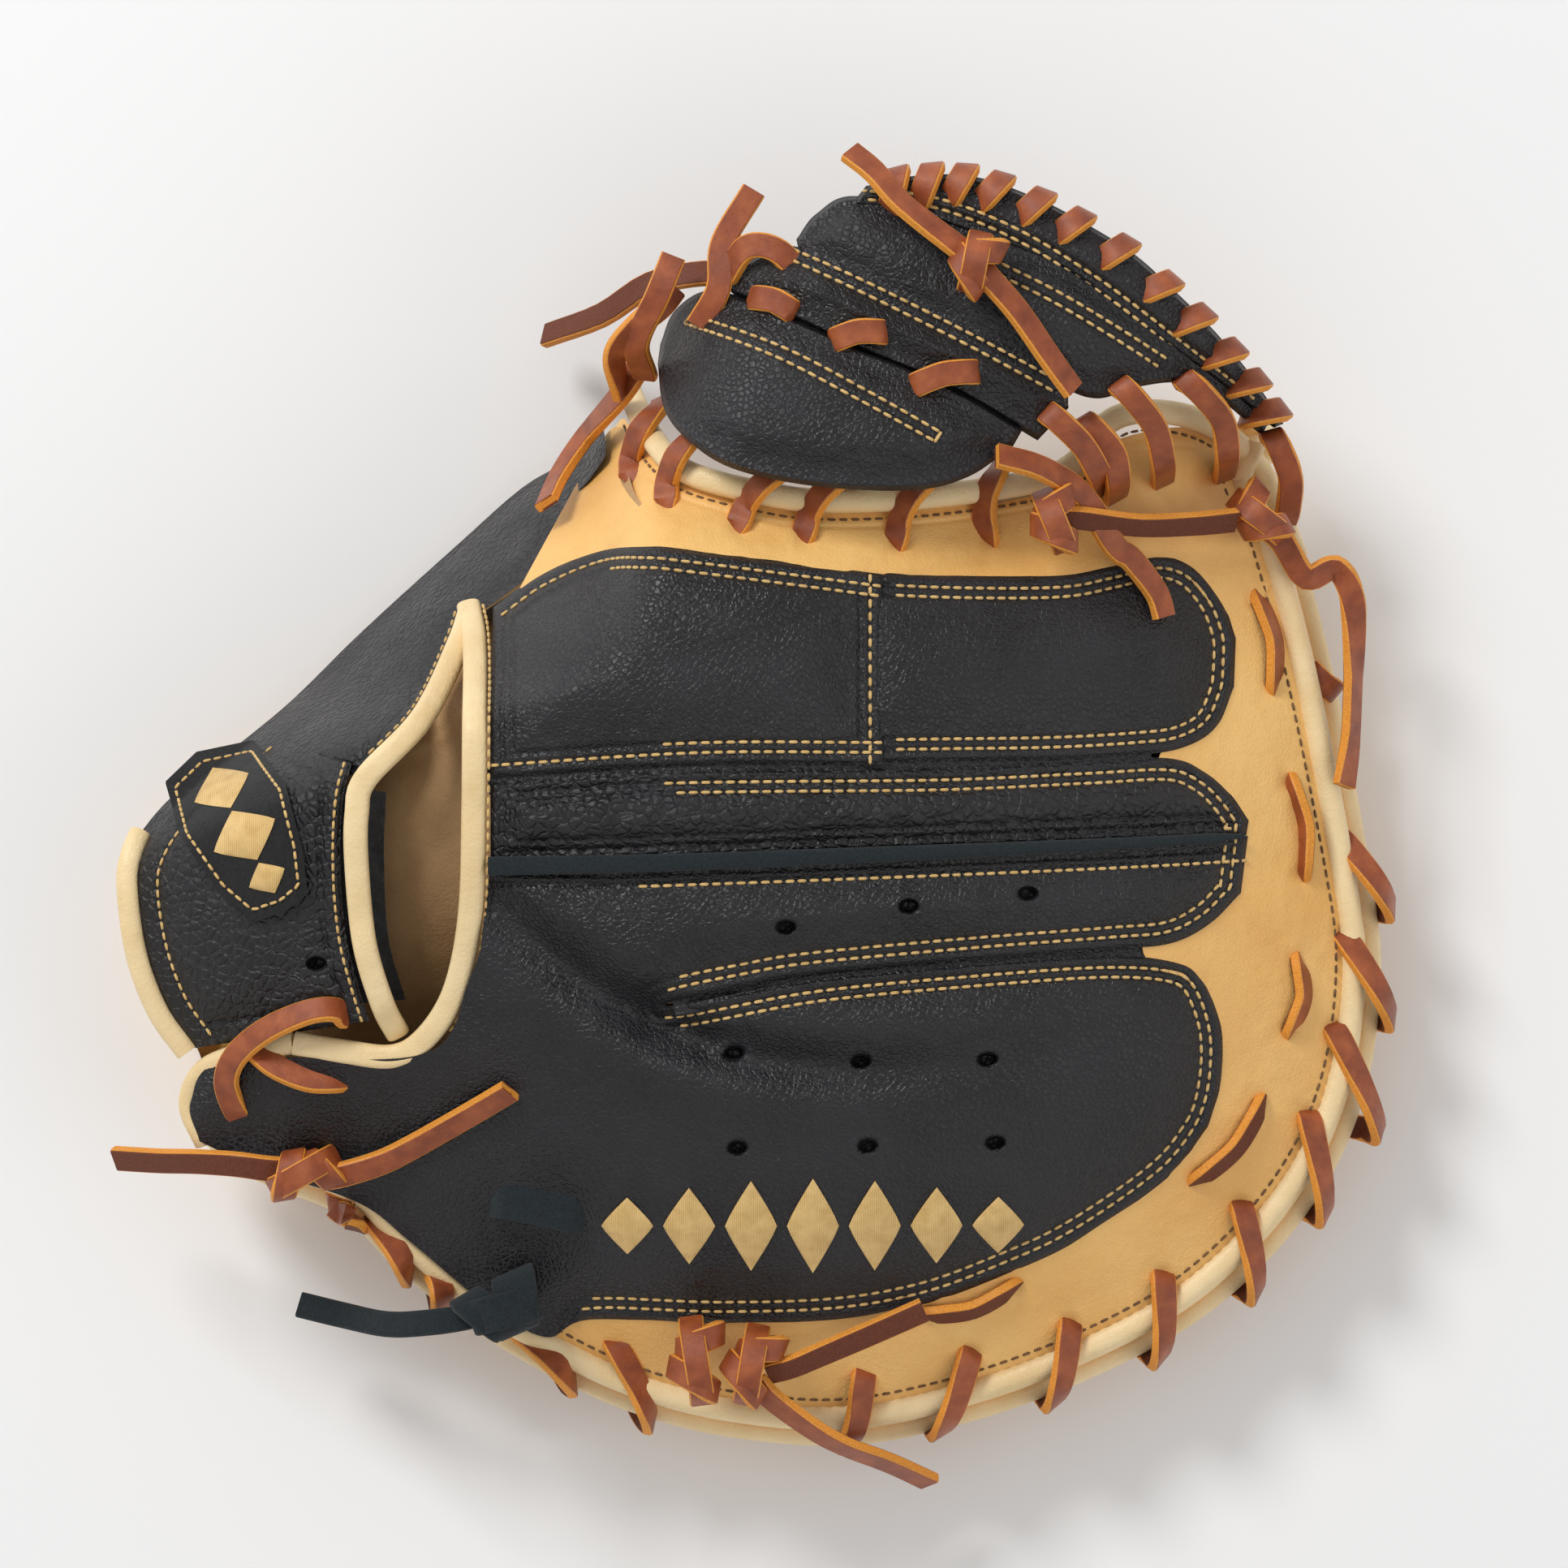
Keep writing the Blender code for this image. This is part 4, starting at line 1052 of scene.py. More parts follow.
def bind_rim():
    """Two cream rolls round the rim, the back's set inwards of the palm's, and the leather wall between them."""
    outer = rim_part(-135, 21, 0, 400)
    low, top = rim_heights(outer[:, 0], outer[:, 1])
    back_line = np.column_stack([rim_part(-135, 21, BACK_ROLL_INSET, 400), top + 1.0])
    palm_line = np.column_stack([rim_part(-135, 21, PALM_ROLL_INSET, 400), low])
    full = oval(6.4, 6.0, 20)
    placed(joined("back_roll", [swept(back_line, full)], CREAM), "fingers", "cream_binding",
        "rim_binding_back")
    placed(joined("palm_roll", [swept(palm_line, full)], CREAM), "fingers", "cream_binding",
        "rim_binding_palm")
    rise = np.linspace(0, 1, 10)[:, None]
    belly = 1.2 * np.sin(np.pi * rise)
    plan = np.broadcast_to(rim_part(-135, 21, 5.2, 400), (10, 400, 2))
    face = np.dstack([plan, low + 1 + (top - low - 1) * rise])
    away = (outer - CROWN) / np.linalg.norm(outer - CROWN, axis=1, keepdims=True)
    face[..., :2] += away * belly[..., None]
    inner = face[::-1].copy()
    inner[..., :2] -= away * 1.6
    ring = np.concatenate([face, inner])
    faces = grid_faces(400, 20, True)
    wall = np.swapaxes(ring, 0, 1).reshape(-1, 3)
    caps = [tuple(range(20))[::-1], tuple(range(399 * 20, 400 * 20))]
    gusset = add("rim_wall", to_frame(wall), [tuple(f) for f in faces] + caps, TAN, None, None, 50)
    placed(gusset, "fingers", "tan_leather")
    seam = rim_part(-103, 21, 12.2, 500)
    stitch_rows("border_stitches", [raised(seam, BORDER_HEIGHT, 0.15)], BROWN_THREAD, "fingers",
        "gold_thread", 3.0, 2.3, 0.7)


def bind_index_side():
    """The cream roll along the index finger's side, over the fingertip, and its row of stitches."""
    line = smooth([
        (-39, 99), (-33, 86), (-24, 76.4), (-5, 71), (10, 69.2), (34, 70.2), (60, 74), (71, 78.6),
        (78, 87.6), (86, 91.4), (98, 91), (109, 86.6), (118, 78), (123, 66), (127, 56),
    ], 8)
    sink = lambda x, y: back(x, y) - 0.4 - 3.0 * ease(x, 112, 127)
    roll("index_side_roll", line, sink, oval(6.0, 5.4, 18, 2.3), CREAM, "fingers", "cream_binding",
        "index_side_binding")
    seam = shifted(line, -4.6)
    seam = seam[(seam[:, 0] > -40) & (seam[:, 0] < 120)]
    stitch_rows("index_side_stitches", [raised(seam, SIDE_HEIGHT, 0.15)], BROWN_THREAD, "fingers",
        "gold_thread", 3.0, 2.3, 0.7)


OPENING_RIGHT = [
    (-77.6, 43.6), (-76, 36), (-75.4, 21.2), (-75.6, -6.8), (-76.6, -32), (-80.6, -50.8), (-88, -62.4),
    (-96, -66.8), (-108, -65.6), (-120, -63.6),
]
OPENING_LEFT = [
    (-77.4, 42), (-80, 34), (-88.4, 16), (-102, 1.4), (-104.2, -6.8), (-104.4, -18.8), (-102.6, -38.6),
    (-98.2, -54), (-94.8, -61),
]
STRAP_EDGE = [(-158.6, -12.4), (-160.6, -17.8), (-161.4, -25.2), (-159.2, -42), (-154, -56), (-147, -66)]
HEEL_EDGE = [(-120, -63.4), (-134, -66.6), (-143, -70.8), (-146.4, -79), (-142.6, -88.4)]


def bind_opening():
    """The folded cream strips round the wrist opening, the strap's outer edge and the heel."""
    fold = oval(6.0, 4.2, 18, 2.8)
    near = smooth(OPENING_RIGHT, 8)
    far = smooth(OPENING_LEFT, 8)
    strap = smooth(STRAP_EDGE, 8)
    heel = smooth(HEEL_EDGE, 8)
    roll("opening_roll_near", near, lambda x, y: back(x, y) + 0.6, fold, CREAM, "fingers", "cream_binding",
        "opening_binding_fingers")
    roll("opening_roll_far", far, lambda x, y: arch(x, y) + 0.6 - 5 * ease(-y, 53, 63), fold, CREAM,
        "thumb", "cream_binding", "opening_binding_thumb")
    roll("strap_roll", strap, lambda x, y: arch(x, y) - 0.6, oval(5.6, 4.6, 18, 2.4), CREAM, "strap",
        "cream_binding", "strap_binding")
    roll("heel_roll", heel, lambda x, y: back(x, y) + 0.2, oval(5.6, 4.6, 18, 2.4), CREAM, "fingers",
        "cream_binding", "heel_binding")
    beside = shifted(near, 3.6)
    beside = beside[beside[:, 1] > -62]
    stitch_rows("opening_stitches", [raised(beside, back, 0.9)], THREAD, "fingers", "gold_thread",
                2.9, 2.1, 0.7)
    beside = shifted(far, -3.6)
    beside = beside[beside[:, 1] > 6]
    stitch_rows("opening_stitches_far", [raised(beside, THUMB_HEIGHT, 0.3)], THREAD, "thumb", "gold_thread",
                2.9, 2.1, 0.7)


# ---------------------------------------------------------------- strap

def motif_lozenge(at, ahead, beside, half, wide, base):
    """A domed lozenge of gold thread on a surface, closed below, from its half length and half width."""
    u, v = np.meshgrid(np.linspace(-1, 1, 15), np.linspace(-1, 1, 11))
    plan = at + (v * half)[..., None] * ahead + (u * wide * (1 - np.abs(v) ** 1.15))[..., None] * beside
    top = np.dstack([plan, base(plan[..., 0], plan[..., 1]) + 0.35 + 1.1 * (1 - u**2) * (1 - v**2)])
    under = np.dstack([plan, base(plan[..., 0], plan[..., 1]) - 0.8])
    ring = np.concatenate([top.reshape(-1, 3), under.reshape(-1, 3)])
    index = np.arange(165).reshape(11, 15)
    loop = np.concatenate([index[0], index[1:, -1], index[-1, -2::-1], index[-2:0:-1, 0]])
    after = np.roll(loop, -1)
    quads = grid_faces(11, 15, False)[:, ::-1]
    faces = np.concatenate([quads, quads[:, ::-1] + 165,
        np.stack([after, loop, loop + 165, after + 165], axis=-1)[:, ::-1]])
    return ring, faces.tolist(), np.zeros((330, 2)), np.zeros(330)


def make_strap():
    """The wrist strap: pebbled black leather over black fleece, a felt patch, and a lace at its foot."""
    guides = [
        [(-129, 13.4), (-140, 4.6), (-151.6, -7), (-157.6, -17), (-159, -26), (-156.8, -41), (-152, -54.4),
        (-145, -65)],
        [(-105.6, 5), (-107.4, -2), (-108.2, -10), (-108.4, -19), (-108, -29), (-106.8, -39), (-104, -50),
        (-101.6, -58)],
    ]
    plan = loft(guides, 190, 150)
    outline = spaced(edge_of(plan), 160)
    height = sewn(outline, arch, 1.6, 12, rows=(5.2,), seed=13, crease=0.3, slow=0.9)
    pierced = vented(height, [(-114.4, -44)])
    strap = skin("strap_cover", plan, pierced, 2.6, CRINKLED)
    placed(strap, "strap", "black_leather", "wrist_strap")
    runs = [raised(shifted(plan[0], 5.2), height, 0.3), raised(shifted(plan[-1], -1.8), height, 0.3)]

    cuff = loft([[(-112, 0), (-113, -18), (-112, -38), (-107, -54)],
        [(-97.4, -2), (-98, -18), (-97, -38), (-93, -53)]], 120, 34)
    tuft = lambda x, y: arch(x, y) - 8.6 + 1.1 * wander(x, y, 21, 1.6) - 6 * ease(x, -104, -94)
    fleece = skin("strap_fleece_cuff", cuff, tuft, 3.4, FLEECE)
    placed(fleece, "strap", "black_fleece", "strap_fleece")

    turn = math.radians(-62)
    ahead, beside = np.array([math.cos(turn), math.sin(turn)]), np.array([-math.sin(turn), math.cos(turn)])
    centre = np.array([-133.0, -10.6])
    to_plan = lambda points: centre + np.array(points, float) @ np.stack([ahead, beside])
    lower = spaced(to_plan([(-22, -2), (-19, -12), (-6, -14.4), (12, -12), (22, -8), (23.4, 0)]), 90)
    upper = spaced(to_plan([(-22, -1.8), (-18, 12), (-4, 14.8), (12, 11), (22, 7), (23.4, 0.2)]), 90)
    patch_plan = np.stack([lower * (1 - t) + upper * t for t in np.linspace(0, 1, 50)])

    def on_strap(x, y):
        pull = np.minimum(1, 0.95 / from_crown(x, y)[1])
        return pierced(CROWN[0] + (x - CROWN[0]) * pull, CROWN[1] + (y - CROWN[1]) * pull) + 1.9
    patch = skin("strap_patch_felt", patch_plan, on_strap, 1.9, FELT)
    placed(patch, "strap", "black_felt", "strap_patch")
    ring = np.concatenate([lower, upper[::-1], lower[:1]])
    runs.append(raised(spaced(centre + (ring - centre) * 0.87, 160), on_strap, 0.25))
    lozenges = [motif_lozenge(to_plan([(along, 0)])[0], ahead, beside, half, wide, on_strap)
                for along, half, wide in ((-11, 5.6, 7.6), (2.2, 6.8, 8.6), (14, 4.2, 5.0))]
    placed(joined("gold_strap_motif", lozenges, THREAD, 60), "strap", "gold_thread")
    stitch_rows("strap_stitches", runs, THREAD, "strap", "gold_thread", 2.6, 2.1, 0.7)

    over = lambda x, y: arch(x, y) + 3.4
    loop = np.array([(-131.6, -84.6), (-135, -80), (-137, -73), (-134.4, -66.6), (-127, -60.4),
        (-117, -56), (-110.4, -55.2), (-107.6, -57)])
    rise = np.array([-3.5, 0.8, 3.0, 4.2, 4.6, 3.8, 1.6, -3.0])
    tail = np.array([(-131, -64), (-125, -69), (-117, -72.4), (-110.4, -72.8), (-107.6, -72.4)])
    laces = [
        strand(np.column_stack([loop, over(*loop.T) - 1.5 + rise]), (-30, -24, -26, -36), None),
        strand(np.column_stack([tail, back(*tail.T) + (2.0, 4.4, 4.4, 2.4, -2.0)]), (-20, -30), None),
    ]
    placed(joined("strap_lace_run", laces, LACE), "strap", "rawhide_lace", "strap_lace")


# ---------------------------------------------------------------- laces on the body

# Rim whip stitches: the hole in the border, and where the lace turns over the outer roll.
RIM_WHIPS = [
    ((137.4, -13), (148.4, -32)), ((138, -37), (148.4, -59)), ((135.6, -60), (145.4, -86.8)),
    ((129.4, -81.4), (131.8, -107)),
    ((112.8, -103.6), (114.8, -126.4)), ((93.6, -121), (91, -142)), ((70.8, -133), (64.8, -152.6)),
    ((46.2, -140), (36.8, -159.6)),
    ((19.8, -145.6), (13.8, -162.8)), ((-41.8, -138.2), (-35.2, -158.4)),
    ((-64.8, -135.6), (-54.4, -149.8)),
    ((-86.2, -118.8), (-86.8, -129)), ((-101, -107.4), (-95, -122)), ((-111.4, -103.4), (-107.4, -110)),
]
# Short bits of lace in the border: from, to, sideways bow and roll.
BORDER_BITS = [
    ((116.8, 46.2), (120.8, 24.2), -2.4, -64), ((124.8, 0.2), (127.8, -21.8), -2.4, 62),
    ((126.8, -43.8), (124.8, -60.8), -2.6, -66),
    ((117.8, -78.8), (101.8, -97.8), -2.4, 122), ((56.8, -123.8), (34.8, -130.8), -2.6, 118),
    ((131, 27.6), (136.4, 23), 0.4, 0),
]
CROTCH_WHIPS = [
    ((-30.4, 92.4), (-37.6, 74.6)), ((-21.2, 85.6), (-28.8, 68.4)), ((1.6, 77.2), (-11.4, 62.8)),
    ((15.4, 75.2), (4.8, 60.4)),
    ((36.8, 75.4), (27.4, 58.8)), ((53.6, 78.2), (50, 60.2)),
]


WHIP_BOW = 2.4


def rim_whip(hole, out):
    """Lace out of its hole in the border, over both rolls and under to the palm, level across its width."""
    hole, out = np.array(hole, float), np.array(out, float)
    run = (out - hole) / np.linalg.norm(out - hole)
    low, top = (float(v[0]) for v in rim_heights(out[:1], out[1:]))
    home = (np.array(CROWN) - out) / np.linalg.norm(np.array(CROWN) - out)
    length = np.linalg.norm(out - hole)
    under = lambda inset: out + home * inset
    points = [
        (*hole, float(BORDER_HEIGHT(*hole)) - 4), (*(hole + run * 0.3), float(BORDER_HEIGHT(*hole)) - 0.5),
        (*(hole + run * 3.2), float(BORDER_HEIGHT(*(hole + run * 3.2))) + 1.9),
        (*(hole + run * length * 0.55), top + 5.0), (*(hole + run * length * 0.84), top + 3.4),
        (*(out + run * 0.4), (low + top) / 2 + 0.5), (*under(1.0), low - 3.0), (*under(4.6), low - 4.4),
        (*under(10), float(palm(*under(10))) - 1.7), (*under(13), float(palm(*under(13))) + 0.4),
        (*under(13.4), float(palm(*under(13.4))) + 3.5),
    ]
    points = np.array(points)
    points[:, :2] += np.array([-run[1], run[0]]) * (WHIP_BOW
        * np.array([0, 0, 0.3, 0.85, 1, 0.8, 0.3, -0.4, -1, -1.2, -1.2]))[:, None]
    points[:, 2] = np.maximum(points[:, 2], 1.6)
    return strand(points, (-16, -22, -34, -52, -56, -20, 0, 0), level_across, per_span=6)


def lace_rim():
    placed(joined("rim_whips", [rim_whip(*w) for w in RIM_WHIPS], LACE), "fingers", "rawhide_lace",
        "rim_lace")
    bits = [bit(a, b, BORDER_HEIGHT, 0.8, bow, 4.5, degrees=(roll, roll)) for a, b, bow,
        roll in BORDER_BITS]
    placed(joined("border_lace_bits", bits, LACE), "fingers", "rawhide_lace", "border_lace")


def side_whip(top, hole, bow=2.6):
    """Lace from behind the side's roll, over it, and down into its hole in the tan leather."""
    top, hole = np.array(top, float), np.array(hole, float)
    run = hole - top
    side = np.array([run[1], -run[0]]) / np.linalg.norm(run)
    share = np.array([-0.10, -0.02, 0.16, 0.42, 0.72, 0.95, 1.0, 1.0])
    plan = top + run * share[:, None] + side * (bow * np.sin(np.pi * np.clip(share, 0, 1)))[:, None]
    ground = SIDE_HEIGHT(plan[:, 0], plan[:, 1])
    roll_top = np.max(back(plan[:, 0], plan[:, 1])) + 2.2
    height = ground + np.array([-5, -1, 4.4, 4.6, 3.0, 1.4, -0.8, -4.4])
    height[1:4] = np.maximum(height[1:4], roll_top - np.array([5, 1.4, 1.2]))
    return strand(np.column_stack([plan, height]), (46, 42, 36, 30, 16), level_across, per_span=8)


def lace_side():
    whips = [side_whip(*w) for w in CROTCH_WHIPS]
    placed(joined("index_side_whips", whips, LACE), "fingers", "rawhide_lace", "index_side_lace")


def tie_knots():
    """The pulled knots that the free ends leave."""
    for name, at, heading, size, lift, body in (
        ("index_knot", (66, 64.4), 90, (13, 4.6, 4.2), 7.4, "fingers"),
        ("tip_knot", (117, 66), 120, (13, 4.8, 4.0), 7.8, "fingers"),
        ("heel_knot", (-118, -95.5), 10, (16, 4.8, 4.4), 9.4, "fingers"),
        ("low_knot_near", (-21.5, -142), 80, (19, 5.6, 4.6), 11.5, "fingers"),
        ("low_knot_far", (-8, -143), 60, (17, 5.4, 4.6), 11.5, "fingers"),
        ("web_knot", (46.5, 127), 55, (12, 4.6, 4.0), 7.0, "web"),
    ):
        height = float(arch(*at)) + lift
        parts = knotted((*at, height), heading, *size)
        placed(joined(name + "_tied", parts, LACE), body, "rawhide_lace", name)
    at = (-68, -128.5)
    centre = np.array([*at, float(back(*at)) + 12.5])
    parts = [wrapped(centre + (2, 1, 0), 24, 6.2, 5.4, 2.0, 11),
        wrapped(centre - (5, 2, 0), 30, 6, 5, -2.5, 9)]
    parts.append(wrapped(centre + (-1, -1, 0.5), 112, 7.4, 6.2, 1.0, 9))
    stub = np.array([(-71.5, -101.5), (-68, -101.8), (-60, -103.4), (-52, -105), (-49.6, -105.4)])
    over = HEIGHTS["little"][0](stub[:, 0], stub[:, 1]) + np.array([-1.4, 0.9, 1.3, 1.1, -1.0])
    parts.append(strand(np.column_stack([stub, over]), (0, 0), None, 1.1, *slab(10.4, 2.0)))
    placed(joined("little_strap_tied", parts, SUEDE), "fingers", "black_suede", "little_strap_knot")


# ---------------------------------------------------------------- web

# The web's strips: piece, node, guide lines, puff, its reach, seed, and how high the strip lies.
WEB_STRIPS = [
    ("web_edge_cover", "web_edge_strip", [
        [(16, 141), (30, 139.6), (43, 135), (67, 126), (87, 112), (107, 98), (121, 88)],
        [(20, 146), (33, 148.6), (47, 148.2), (62, 143), (73, 137.4), (85.4, 129.8), (95, 121.4),
        (105, 111.8), (114.6, 101), (123.4, 89)],
    ], 1.6, 5, 31, -0.4),
    ("web_third_cover", "web_strip_3", [
        [(4, 129), (18, 122.4), (33, 114.6), (55, 104), (68, 97), (77, 94.4), (87, 97.4), (98, 98.4),
        (108, 94), (118, 86)],
        [(3, 133), (8, 139.4), (18, 143.6), (43, 137), (67, 128), (87, 114.4), (107, 100), (120, 90)],
    ], 2.0, 8, 33, -1.4),
    ("web_second_cover", "web_strip_2", [
        [(-12, 119.4), (0.5, 114), (20, 105), (41, 96), (62, 84)],
        [(-16, 123.4), (-9.6, 127.6), (2, 131.4), (18, 124.8), (33, 117.2), (55, 106.4), (68, 99),
        (69.6, 92)],
    ], 3.2, 11, 35, -0.6),
    ("web_first_cover", "web_strip_1", [
        [(-31, 103), (-29.4, 92), (-24, 84.4), (-13, 77), (7, 72.6), (31, 71.6), (45, 75), (56, 82.6)],
        [(-30.4, 108), (-27, 116), (-19, 120.8), (-8, 118), (7, 111.4), (18, 106.4), (39, 97.8),
        (58.4, 86.8)],
    ], 3.4, 12, 37, 0.0),
]
WEB_SEAMS = [
    ("web_first_cover", [(-24.4, 112.8), (-2, 104), (18, 93.6), (36.8, 83.4)]),
    ("web_first_cover", [(-22.6, 114.8), (0, 106.2), (20, 95.8), (38.2, 85.6)]),
    ("web_first_cover", [(36.8, 83.4), (38.2, 85.6)]),
    ("web_first_cover", [(-24.4, 112.8), (-22.6, 114.8)]),
    ("web_second_cover", [(2, 130.6), (20, 122.4), (45, 110), (67, 98.4)]),
    ("web_second_cover", [(1.6, 128), (19, 119.8), (44, 107.4), (66, 95.8)]),
    ("web_third_cover", [(50, 128.4), (66, 120.6), (80, 112.6), (94, 104)]),
    ("web_third_cover", [(49, 125.8), (65, 118), (79, 110), (92, 102)]),
    ("web_edge_cover", [(19, 144.8), (36, 143.2), (56, 135.8), (76, 124), (96, 109.4), (116, 94.6)]),
    ("web_edge_cover", [(20, 142.6), (36, 140.8), (55, 133.6), (75, 121.8), (95, 107.2), (114, 93.4)]),
]
WEB_LOOPS = [
    (27, 149.4), (35.8, 149.6), (43.8, 149.4), (52.8, 147.6), (62.8, 143.9), (72.4, 138.8), (83.2, 132.4),
    (94, 123.4),
    (102.2, 115.2), (110, 107), (116.6, 99.4), (121.4, 92.6),
]
WEB_BITS = [((-7.6, 118.4), (1.8, 115.2)), ((12.4, 108), (24, 110)), ((32, 97), (46.4, 100.4))]
FINGER_LACES = [
    ((64.4, 90.6), (78.4, 72.6), 2.0), ((73.4, 88.6), (81.6, 70.6), 3.5), ((82.2, 97.4), (93.2, 74.4), 3.5),
    ((98.4, 99), (108.8, 76), 4.5), ((120.4, 86), (123.8, 64.4), 3.0),
]


def make_web():
    """The web's four folded strips, each lapping over the next, with their seams, laces and edge loops."""
    heights = {}
    for name, node_name, guides, puff, reach, seed, level in WEB_STRIPS:
        plan = loft(guides, 260, 70)
        outline = spaced(edge_of(plan), 200)
        rounded = sewn(outline, arch, puff, reach, rows=(), edge=2.4, seed=seed, crease=0.4, slow=0.7)
        lines = [smooth(line, 8) for where, line in WEB_SEAMS if where == name and len(line) > 2]

        def height(x, y, rounded=rounded, level=level, lines=lines):
            z = rounded(x, y) + level
            for line in lines:
                z = z - 0.75 * bell(gap_to(line, x, y), 0.9)
            return z - 2.2 * ease(x, 112, 124)
        heights[name] = height
        strip = skin(name, plan, height, 3.2, BLACK)
        placed(strip, "web", "black_leather", node_name)
    runs = [raised(spaced(smooth(line, 8), 200), heights[where], 0.3) for where, line in WEB_SEAMS]
    stitch_rows("web_stitches", runs, THREAD, "web", "gold_thread")

    top = lambda x, y: np.maximum(heights["web_first_cover"](x, y), heights["web_second_cover"](x, y))
    bits = [bit(a, b, top, 1.6, -1.2, degrees=(0, 10)) for a, b in WEB_BITS]
    placed(joined("web_lace_bits", bits, LACE), "web", "rawhide_lace", "web_strip_lace")

    loops = []
    for x, y in WEB_LOOPS:
        spot = np.array([x, y])
        near = spaced(smooth(WEB_STRIPS[0][2][1], 8), 200)
        k = int(np.argmin(np.hypot(*(near - spot).T)))
        along = near[min(k + 2, 199)] - near[max(k - 2, 0)]
        along /= np.linalg.norm(along)
        out = np.array([-along[1], along[0]])
        out = out if out @ (spot - CROWN) > 0 else -out
        out = out * 0.93 + along * 0.42
        top_z = float(arch(*near[k]))
        steps = [(-7.4, -3.0), (-6.6, 0.2), (-4.6, 2.2), (-2.0, 2.6), (0.2, 1.7), (1.5, -0.2), (1.7, -2.6),
            (0.4, -5.2), (-2.4, -6.8), (-6.4, -6.4)]
        loops.append(strand([(*(near[k] + out * run), top_z + rise) for run, rise in steps],
            (-28, -26, -30), level_across))
    placed(joined("web_edge_loops", loops, LACE), "web", "rawhide_lace", "web_edge_lace")

    over = lambda x, y: np.maximum(arch(x, y), 0) + 0.5
    laces = []
    for a, b, bow in FINGER_LACES:
        laces.append(bit(a, b, over, 3.4, -bow, 5.0, SIDE_HEIGHT, (8, -8)))
    finger_laces = joined("web_finger_laces", laces, LACE)
    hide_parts("web_finger_lace")
    near = np.array([*(np.array([92, 76]) + PLAN_AT), 80]) * MM
    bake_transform(finger_laces)

    loose = [
        strand([(-40, 96, 62), (-41.4, 105, 72), (-36, 112, 78), (-30, 117, 80), (-27, 121, 76)],
        (60, 30, 10)),
        strand([(-34, 100, 66), (-36, 108, 76), (-31, 119, 84), (-27, 129, 84)], (-30, -10, 0)),
        strand([(-21, 112, 84), (-16, 121, 86), (-15, 132, 84), (-7.5, 145, 80)][::-1], (0, 0)),
        strand([(-14, 124, 84), (-9, 131, 88), (-2, 130.4, 90), (4, 124, 88)], (0, 0), level_across),
    ]
    placed(joined("web_thumb_laces", loose[:2], LACE), "thumb", "rawhide_lace")
    placed(joined("web_thumb_ties", loose[2:], LACE), "web", "rawhide_lace")


# ---------------------------------------------------------------- palm, padding and lining

SHELL_LINE = np.concatenate([rim_part(99, 179.5, EDGE_INSET, 120), rim_part(-180, 19, EDGE_INSET, 300),
    np.array(SHELL_SIDE)])
SHELL_REACH = polar_table(SHELL_LINE, 1.0)
LAYER_GAP = 2.8


def lean(surface, x, y):
    """How much longer a vertical step is than the same step along the surface's normal."""
    dx = (surface(x + 1, y) - surface(x - 1, y)) / 2
    dy = (surface(x, y + 1) - surface(x, y - 1)) / 2
    return np.minimum(np.sqrt(1 + dx * dx + dy * dy), 2.6)


def over_palm(height):
    return lambda x, y: palm(x, y) + height * lean(palm, x, y)


def round_layer(name, inset, top, bottom, material, slot, *nodes, rings=110, spokes=360):
    """One layer of the hand: spokes about the crown, from the middle to the shell's outline less the inset, as
    a top and a bottom surface joined round the edge."""
    angle = np.linspace(-180, 180, spokes, endpoint=False)
    reach = look_up(SHELL_REACH, angle) - inset
    share = (np.linspace(0.004, 1, rings) ** 0.8)[:, None]
    x = CROWN[0] + share * reach * np.cos(np.radians(angle))
    y = CROWN[1] + share * reach * np.sin(np.radians(angle))
    upper = np.dstack([x, y, top(x, y)])
    lower = np.dstack([x, y, bottom(x, y)])
    rings_down = np.concatenate([upper, lower[::-1]])
    faces = [tuple(f)[::-1] for f in grid_faces(2 * rings, spokes, True)]
    faces += [tuple(range(spokes)), tuple(range((2 * rings - 1) * spokes, 2 * rings * spokes))[::-1]]
    layer = add(name, to_frame(rings_down), faces, material, np.dstack([x, y])[None].repeat(2, 0) / 10,
        None, 50)
    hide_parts(*nodes)
    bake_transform(layer)
    return layer


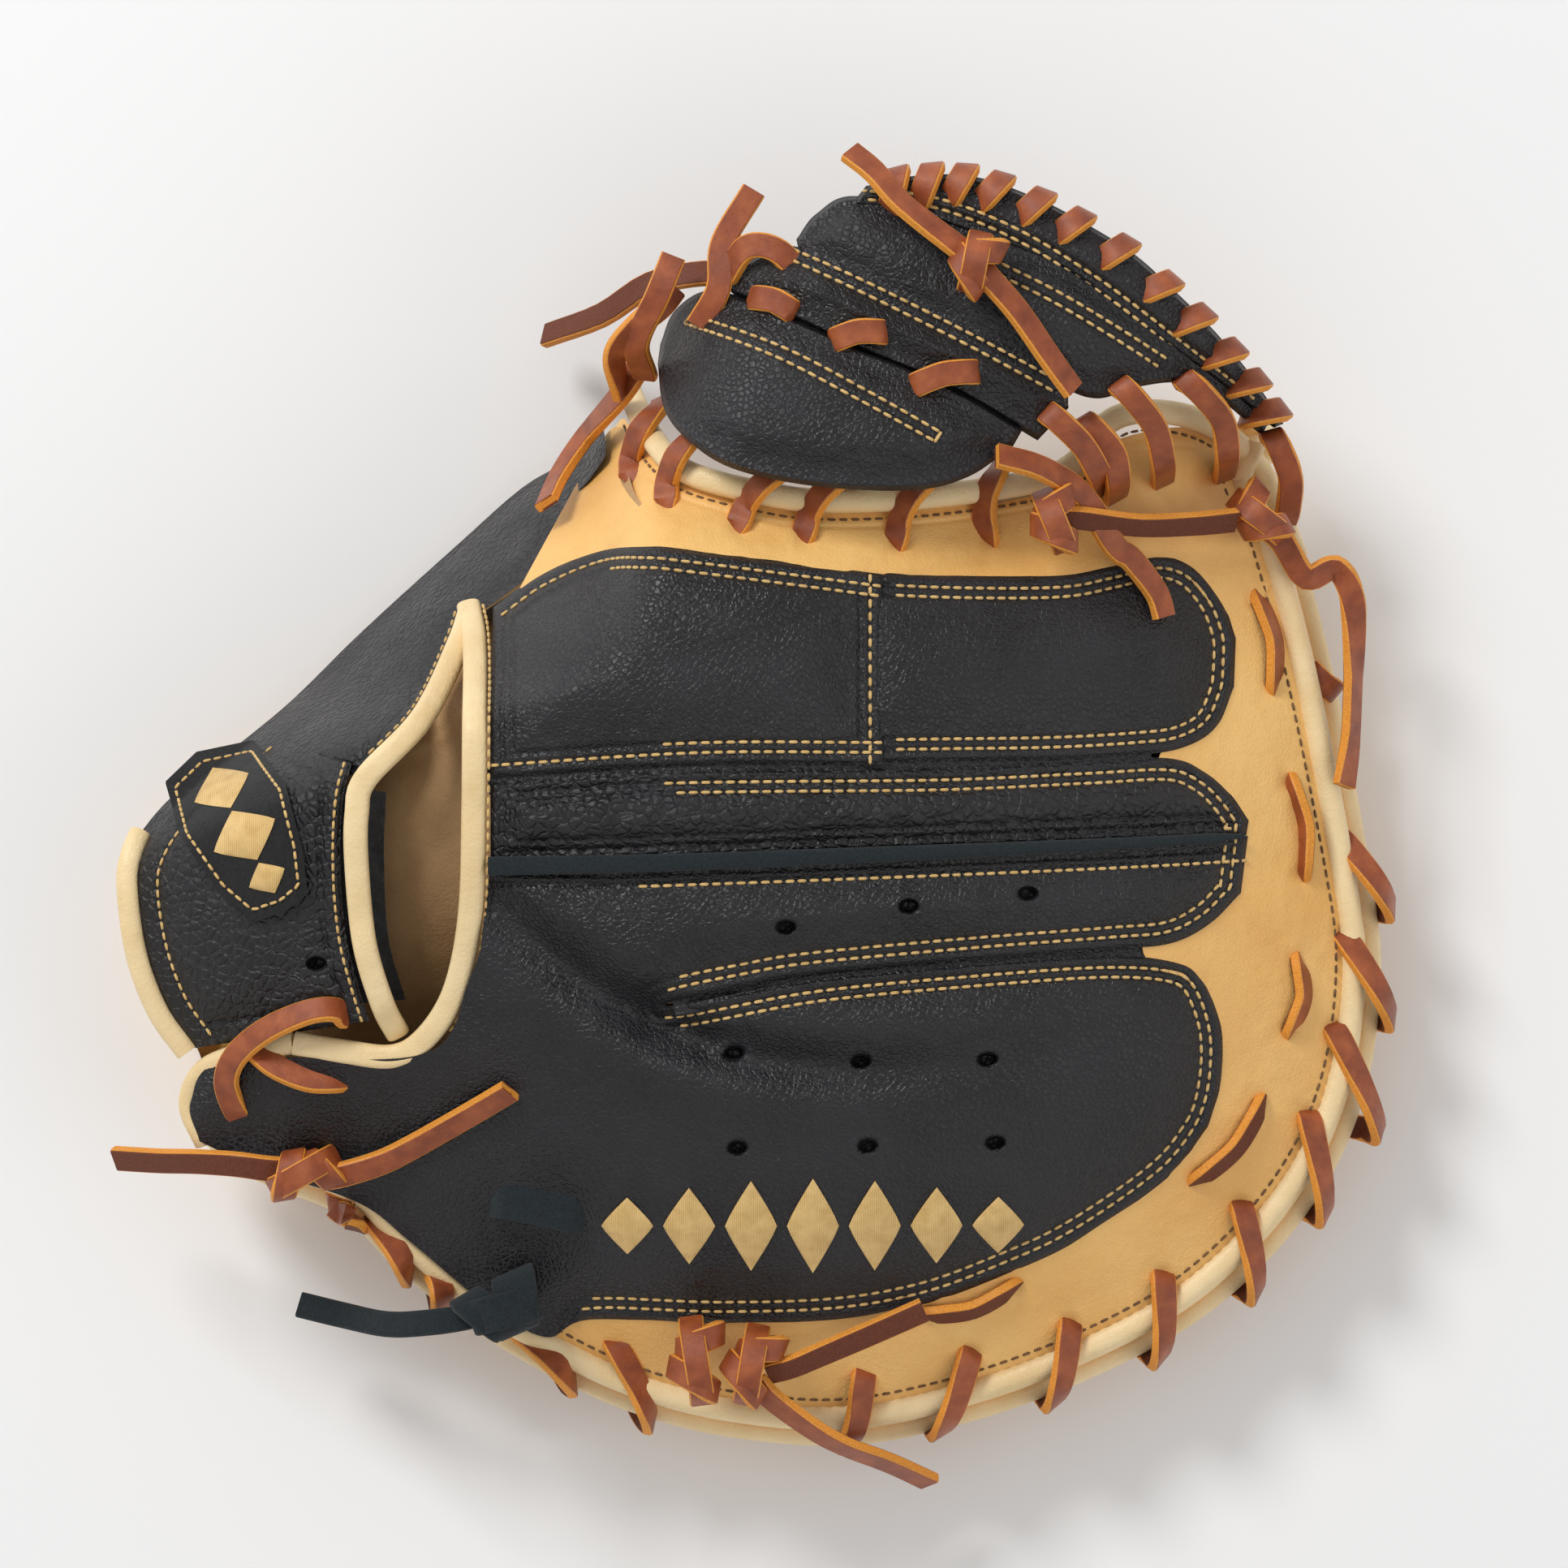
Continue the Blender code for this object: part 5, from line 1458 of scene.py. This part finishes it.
def fill_hand():
    """The palm's leather, the felt pad on it and the glove lining, each one sheet across the fold."""
    low = LEATHER + LAYER_GAP
    crotch = spaced(CROTCH_LINE, 120)
    edge_share = lambda x, y: ease(1 - from_crown(x, y)[1], 0.07, 0.3) * ease(gap_to(crotch, x, y), 6, 42)
    swell = lambda x, y: 0.5 * wander(x, y, 41, 14)
    palm_face = lambda x, y: np.maximum(palm(x, y) - 0.1 + swell(x, y) * ease(palm(x, y), 3, 12), 0)
    round_layer(
        "palm_cover", 0, lambda x, y: palm_face(x, y) + 2.3, palm_face, TAN, "tan_leather",
        "palm_leather_fingers", "palm_leather_thumb")
    pad_top = lambda x, y: over_palm(low)(x, y) + 0.6 + (PAD - 0.6) * edge_share(x, y)
    pad = round_layer("palm_pad", 20, pad_top, over_palm(low), WOOL, "wool_felt", "palm_pad_fingers",
        "palm_pad_thumb", rings=60)
    lining = lambda x, y: over_palm(low)(x, y) + 3.4 + PAD * edge_share(x, y) + 0.7 * wander(x, y, 44, 6)
    round_layer("palm_lining", 13, lambda x, y: lining(x, y) + LINER, lining, LINER_SKIN, "glove_liner",
                "palm_liner_fingers", "palm_liner_thumb")
    return lining


def wall_stalls(lining):
    """The soft walls between the finger stalls, a little hollow at mid height."""
    for word, a, b in (("index", (-45, 3.6), (90, 6.6)), ("middle", (-45, -19), (100, -14.4)),
        ("ring", (-30, -53), (90, -42))):
        line = spaced([a, b], 90)
        floor = lining(line[:, 0], line[:, 1]) + LINER + 0.6
        roof = np.maximum(back(line[:, 0], line[:, 1]) - 4.4, floor + 1.0)
        rise = np.linspace(0, 1, 12)
        offset = np.concatenate([0.9 - 0.5 * np.sin(np.pi * rise),
            -(0.9 - 0.5 * np.sin(np.pi * rise))[::-1]])
        level = np.concatenate([rise, rise[::-1]])
        verts = np.empty((90, 24, 3))
        verts[..., 0] = line[:, None, 0]
        verts[..., 1] = line[:, None, 1] + offset
        verts[..., 2] = floor[:, None] + (roof - floor)[:, None] * level
        faces = [tuple(f) for f in grid_faces(90, 24, True)]
        faces += [tuple(range(24))[::-1], tuple(range(89 * 24, 90 * 24))]
        wall = add("stall_wall_" + word + "_lining", to_frame(verts), faces, LINER_SKIN, None, None, 50)
        placed(wall, "fingers", "glove_liner", "stall_wall_" + word)


def embroider():
    """A plain raised motif in gold thread on the little finger's panel: a row of lozenges, tallest in the middle."""
    base = HEIGHTS["little"][0]
    parts = []
    for k in range(7):
        tall = 6.0 + 6.4 * math.sin(math.pi * (k + 0.5) / 7)
        at = np.array([-38.5 + k * 15.2, -108.5])
        parts.append(motif_lozenge(at, np.array([0, 1.0]), np.array([-1.0, 0]), tall * 0.95, 6.4, base))
    placed(joined("gold_motif", parts, THREAD, 60), "fingers", "gold_thread", "emblem")


bind_rim()
bind_index_side()
bind_opening()
make_strap()
lace_rim()
lace_side()
tie_knots()
make_web()
LINING = fill_hand()
wall_stalls(LINING)
embroider()
